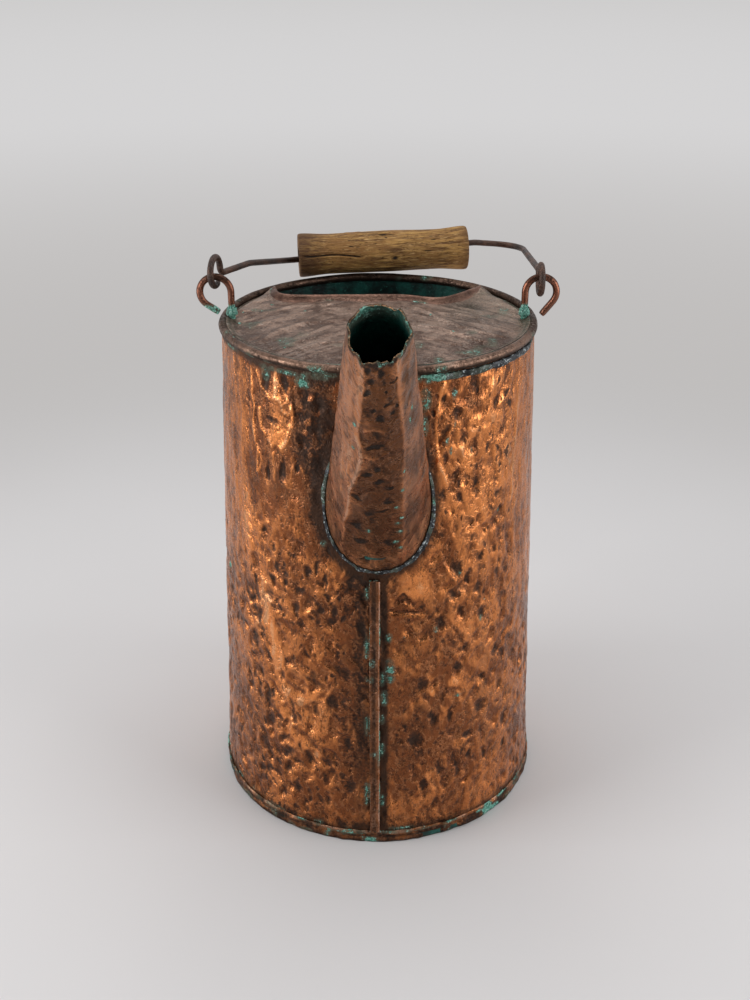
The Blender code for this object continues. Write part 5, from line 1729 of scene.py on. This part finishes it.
def make_grip(finish):
    """The wooden grip: worn long grain, cracks and knots, bored for the wire."""
    turn = all_round(GRIP_COLUMNS)
    half = GRIP_LENGTH / 2
    between = np.linspace(-half + 0.0005, half - 0.0005, GRIP_ROWS)
    station = np.concatenate([[-half], between, [half]])[:, None]
    around = turn[None, :] + 0 * station
    body = grip_radius(station) + 0 * around
    edge = np.minimum(half - station, half + station)
    body = body - 0.0007 * np.exp(-edge / 0.0007)
    grain = hoop(around, station * 0.05, GRIP_GIRTH)
    body = body - 0.0004 + 0.00016 * unrest(grain, 0.0012, 141) + 0.00022 * unrest(grain, 0.004, 142)
    crack = np.zeros_like(body)
    for degrees, start, end, width, depth in GRIP_CRACKS:
        wander = np.radians(degrees + GRIP_SPIRAL * (1000 * station - start))
        wander = wander + 0.05 * np.sin(station * 160 + degrees)
        beside = wrapped(around - wander) * GRIP_GIRTH
        reach = smooth(start / 1000 - 0.001, start / 1000 + 0.006, station)
        reach = reach * smooth(end / 1000 + 0.001, end / 1000 - 0.006, station)
        line = bell(beside * 1000, width) * reach
        crack = np.maximum(crack, line)
        body = body - depth / 1000 * line
    for degrees, along, wide, tall in GRIP_KNOTS:
        beside = wrapped(around - math.radians(degrees)) * (1000 * GRIP_GIRTH)
        far = np.hypot((station * 1000 - along) / wide, beside / tall)
        crack = np.maximum(crack, 0.75 * np.exp(-(far**2)))
        body = body - 0.0006 * np.exp(-(far**2)) + 0.0003 * np.exp(-((far - 1.5) ** 2) * 4)
    soil_and_shade = 0.85 * smooth(-half + 0.022, -half, station + 0.006 * unrest(grain, 0.01, 143))
    soil_and_shade = np.maximum(soil_and_shade, 0.5 * smooth(half - 0.006, half, station + 0 * around))

    rows, cracks, soil_and_shade_rows = [body], [crack], [soil_and_shade]
    stations = [station + 0 * around]
    for sign, pick in ((1, -1), (-1, 0)):
        if sign == -1:
            bore = np.linspace(half, -half, 12)[:, None] + 0 * turn[None, :]
            stations.append(bore)
            rows.append(GRIP_BORE_RADIUS + 0 * bore)
            cracks.append(0.6 + 0 * bore)
            # painted shade: the bore is painted darkest, and the end faces darker towards it; the soil at the
            # ends is dirt
            soil_and_shade_rows.append(1.0 + 0 * bore)
        shares = np.linspace(0.0, 1.0, 8)[1:-1][:, None]
        face = body[pick] + (GRIP_BORE_RADIUS - body[pick]) * shares
        split = crack[pick] * (1.0 - shares)
        sunk = 0.0003 + 0.0006 * split + 0.0004 * unrest(hoop(turn, 0.0, face), 0.004, 144)
        level = sign * half - sign * sunk
        if sign == -1:
            face, split, level = face[::-1], split[::-1], level[::-1]
        stations.append(level)
        rows.append(face)
        cracks.append(split)
        soil_and_shade_rows.append(0.55 + 0.35 * shares + 0 * face)
    points = hoop(turn, np.concatenate(stations), np.concatenate(rows))
    marks = {"crack": np.concatenate(cracks), "soil_and_shade": np.concatenate(soil_and_shade_rows)}
    grip = skin("turned_grip", points, (finish,), marks=marks)
    across = Vector((0.0, 0.0, 1.0)).cross(GRIP_AXIS).normalized()
    turned = Matrix((across, GRIP_AXIS.cross(across), GRIP_AXIS)).transposed().to_4x4()
    grip.matrix_world = Matrix.Translation(GRIP_MIDDLE) @ turned
    settle(grip, "grip", "wood_grip")


# Floor, light and camera


def backdrop_rays(tree):
    """1 for the rays that see the backdrop itself, straight or in a reflection."""
    path = tree.nodes.new("ShaderNodeLightPath").outputs
    seen = maths(tree, "MAXIMUM", path["Is Camera Ray"], path["Is Glossy Ray"])
    return maths(tree, "MAXIMUM", seen, path["Is Transmission Ray"])


FLOOR_REACH = 14.0
LAMPS = (
    # name, place, the point it faces, its size, its power
    ("left_window", (-1.25, -0.40, 0.52), (0.0, 0.0, 0.17), (0.8, 1.0), 12.0),
    ("right_window", (1.20, -0.50, 0.58), (0.0, 0.0, 0.17), (0.9, 1.1), 9.5),
    ("top_panel", (0.0, 0.3, 1.8), (0.0, 0.0, 0.2), (1.4, 1.2), 9.0),
)
CAMERA_PLACE = (-0.0019, -0.7412, 0.5507)
CAMERA_DOWN = 25.68         # degrees that it looks down


def make_stage():
    """A wide pale floor."""
    mesh = bpy.data.meshes.new("pale_floor")
    reach = FLOOR_REACH
    corners = [(-reach, -reach, 0.0), (reach, -reach, 0.0), (reach, reach, 0.0), (-reach, reach, 0.0)]
    mesh.from_pydata(corners, [], [(0, 1, 2, 3)])
    material, tree, shader = new_finish("pale_cloth")
    spots = places(tree)
    cloud = clouds(tree, spots, 2.2, 3.0, 0.5)
    colour = mingle(tree, cloud, (0.66, 0.648, 0.646), (0.74, 0.728, 0.728))
    feed(tree, shader, {"Base Color": colour, "Roughness": 0.95, "Specular IOR Level": 0.1})
    # far from the can the cloth shows its own colour, whatever light reaches it
    away = add(tree, "ShaderNodeVectorMath", {0: spots}, operation="LENGTH").outputs["Value"]
    seen = backdrop_rays(tree)
    share = times(tree, step(tree, away, 0.35, 0.95), seen)
    shown = mingle(tree, step(tree, away, 0.9, 3.0), (0.53, 0.515, 0.508), (0.665, 0.657, 0.66))
    shown = mingle(tree, step(tree, away, 3.0, 9.0), shown, ROOM_COLOUR)
    glow = add(tree, "ShaderNodeEmission", {"Color": shown, "Strength": 1.0})
    mixed = add(tree, "ShaderNodeMixShader", {0: share, 1: shader.outputs[0], 2: glow.outputs[0]})
    feed(tree, tree.nodes["Material Output"], {"Surface": mixed.outputs[0]})
    mesh.materials.append(material)
    floor = put("pale_floor", mesh)


def make_lamp(name, spot, target, size, power):
    """A soft box that faces a point."""
    light = bpy.data.lights.new(name, "AREA")
    light.shape = "RECTANGLE"
    light.size, light.size_y = size
    light.energy = power
    lamp = put(name, light)
    lamp.location = spot
    lamp.visible_camera = False
    lamp.rotation_euler = (Vector(target) - Vector(spot)).to_track_quat("-Z", "Y").to_euler()


def make_light():
    """Soft light from both sides and from above, in a room that is dim on the camera's side."""
    world = bpy.data.worlds.new("soft_room")
    bpy.context.scene.world = world
    world.use_nodes = True
    tree = world.node_tree
    sky = tree.nodes["Background"]
    ways = tree.nodes.new("ShaderNodeTexCoord").outputs["Generated"]
    parts = add(tree, "ShaderNodeSeparateXYZ", {0: ways}).outputs
    side = step(tree, parts["Y"], -0.70, 0.15)
    glow = mingle(tree, side, (0.05, 0.05, 0.052), (0.58, 0.58, 0.59))
    camera = tree.nodes.new("ShaderNodeLightPath").outputs["Is Camera Ray"]
    feed(tree, sky, {"Color": mingle(tree, camera, glow, ROOM_COLOUR), "Strength": 1.0})
    for lamp in LAMPS:
        make_lamp(*lamp)


def make_camera():
    """The camera at the photograph's height and angle."""
    data = bpy.data.cameras.new("camera")
    data.sensor_width = 36.0
    data.lens = 45.0
    camera = put("camera", data)
    camera.location = CAMERA_PLACE
    camera.rotation_euler = (math.radians(90.0 - CAMERA_DOWN), 0.0, 0.0)
    bpy.context.scene.camera = camera


def main():
    """Dress the solids, light them and set the camera."""
    bpy.context.scene.view_settings.view_transform = "Standard"
    verdigris = make_verdigris_group()
    old_copper = make_old_copper_group(verdigris)
    coppers = {name: copper(name, old_copper, *row) for name, row in COPPERS.items()}
    inside = inside_finish(verdigris)
    solder = solder_finish("grey_solder", verdigris, 0.8)
    crust = solder_finish("crusted_solder", verdigris, 1.5)
    iron = iron_finish()

    make_wall(coppers["hammered_copper"], inside, coppers["rim_copper"])
    make_base(coppers["base_copper"], inside)
    make_seam(coppers["seam_copper"])
    make_spout(coppers["spout_copper"], inside)
    make_spout_solder(solder)
    make_rim_solder(solder)
    make_hood(coppers["hood_copper"], inside)
    make_collar(coppers["collar_copper"])
    make_ear("left_ear", -1, math.radians(56), 0.0086, coppers["ear_copper"], crust)
    make_ear("right_ear", 1, math.radians(38), 0.0105, coppers["ear_copper"], crust)
    make_bail(iron)
    make_grip(wood_finish())
    for node, finish in (("rim_wire", iron), ("base_solder_seam", solder)):
        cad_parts[node].data.materials.clear()
        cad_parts[node].data.materials.append(finish)

    make_stage()
    make_light()
    make_camera()


main()
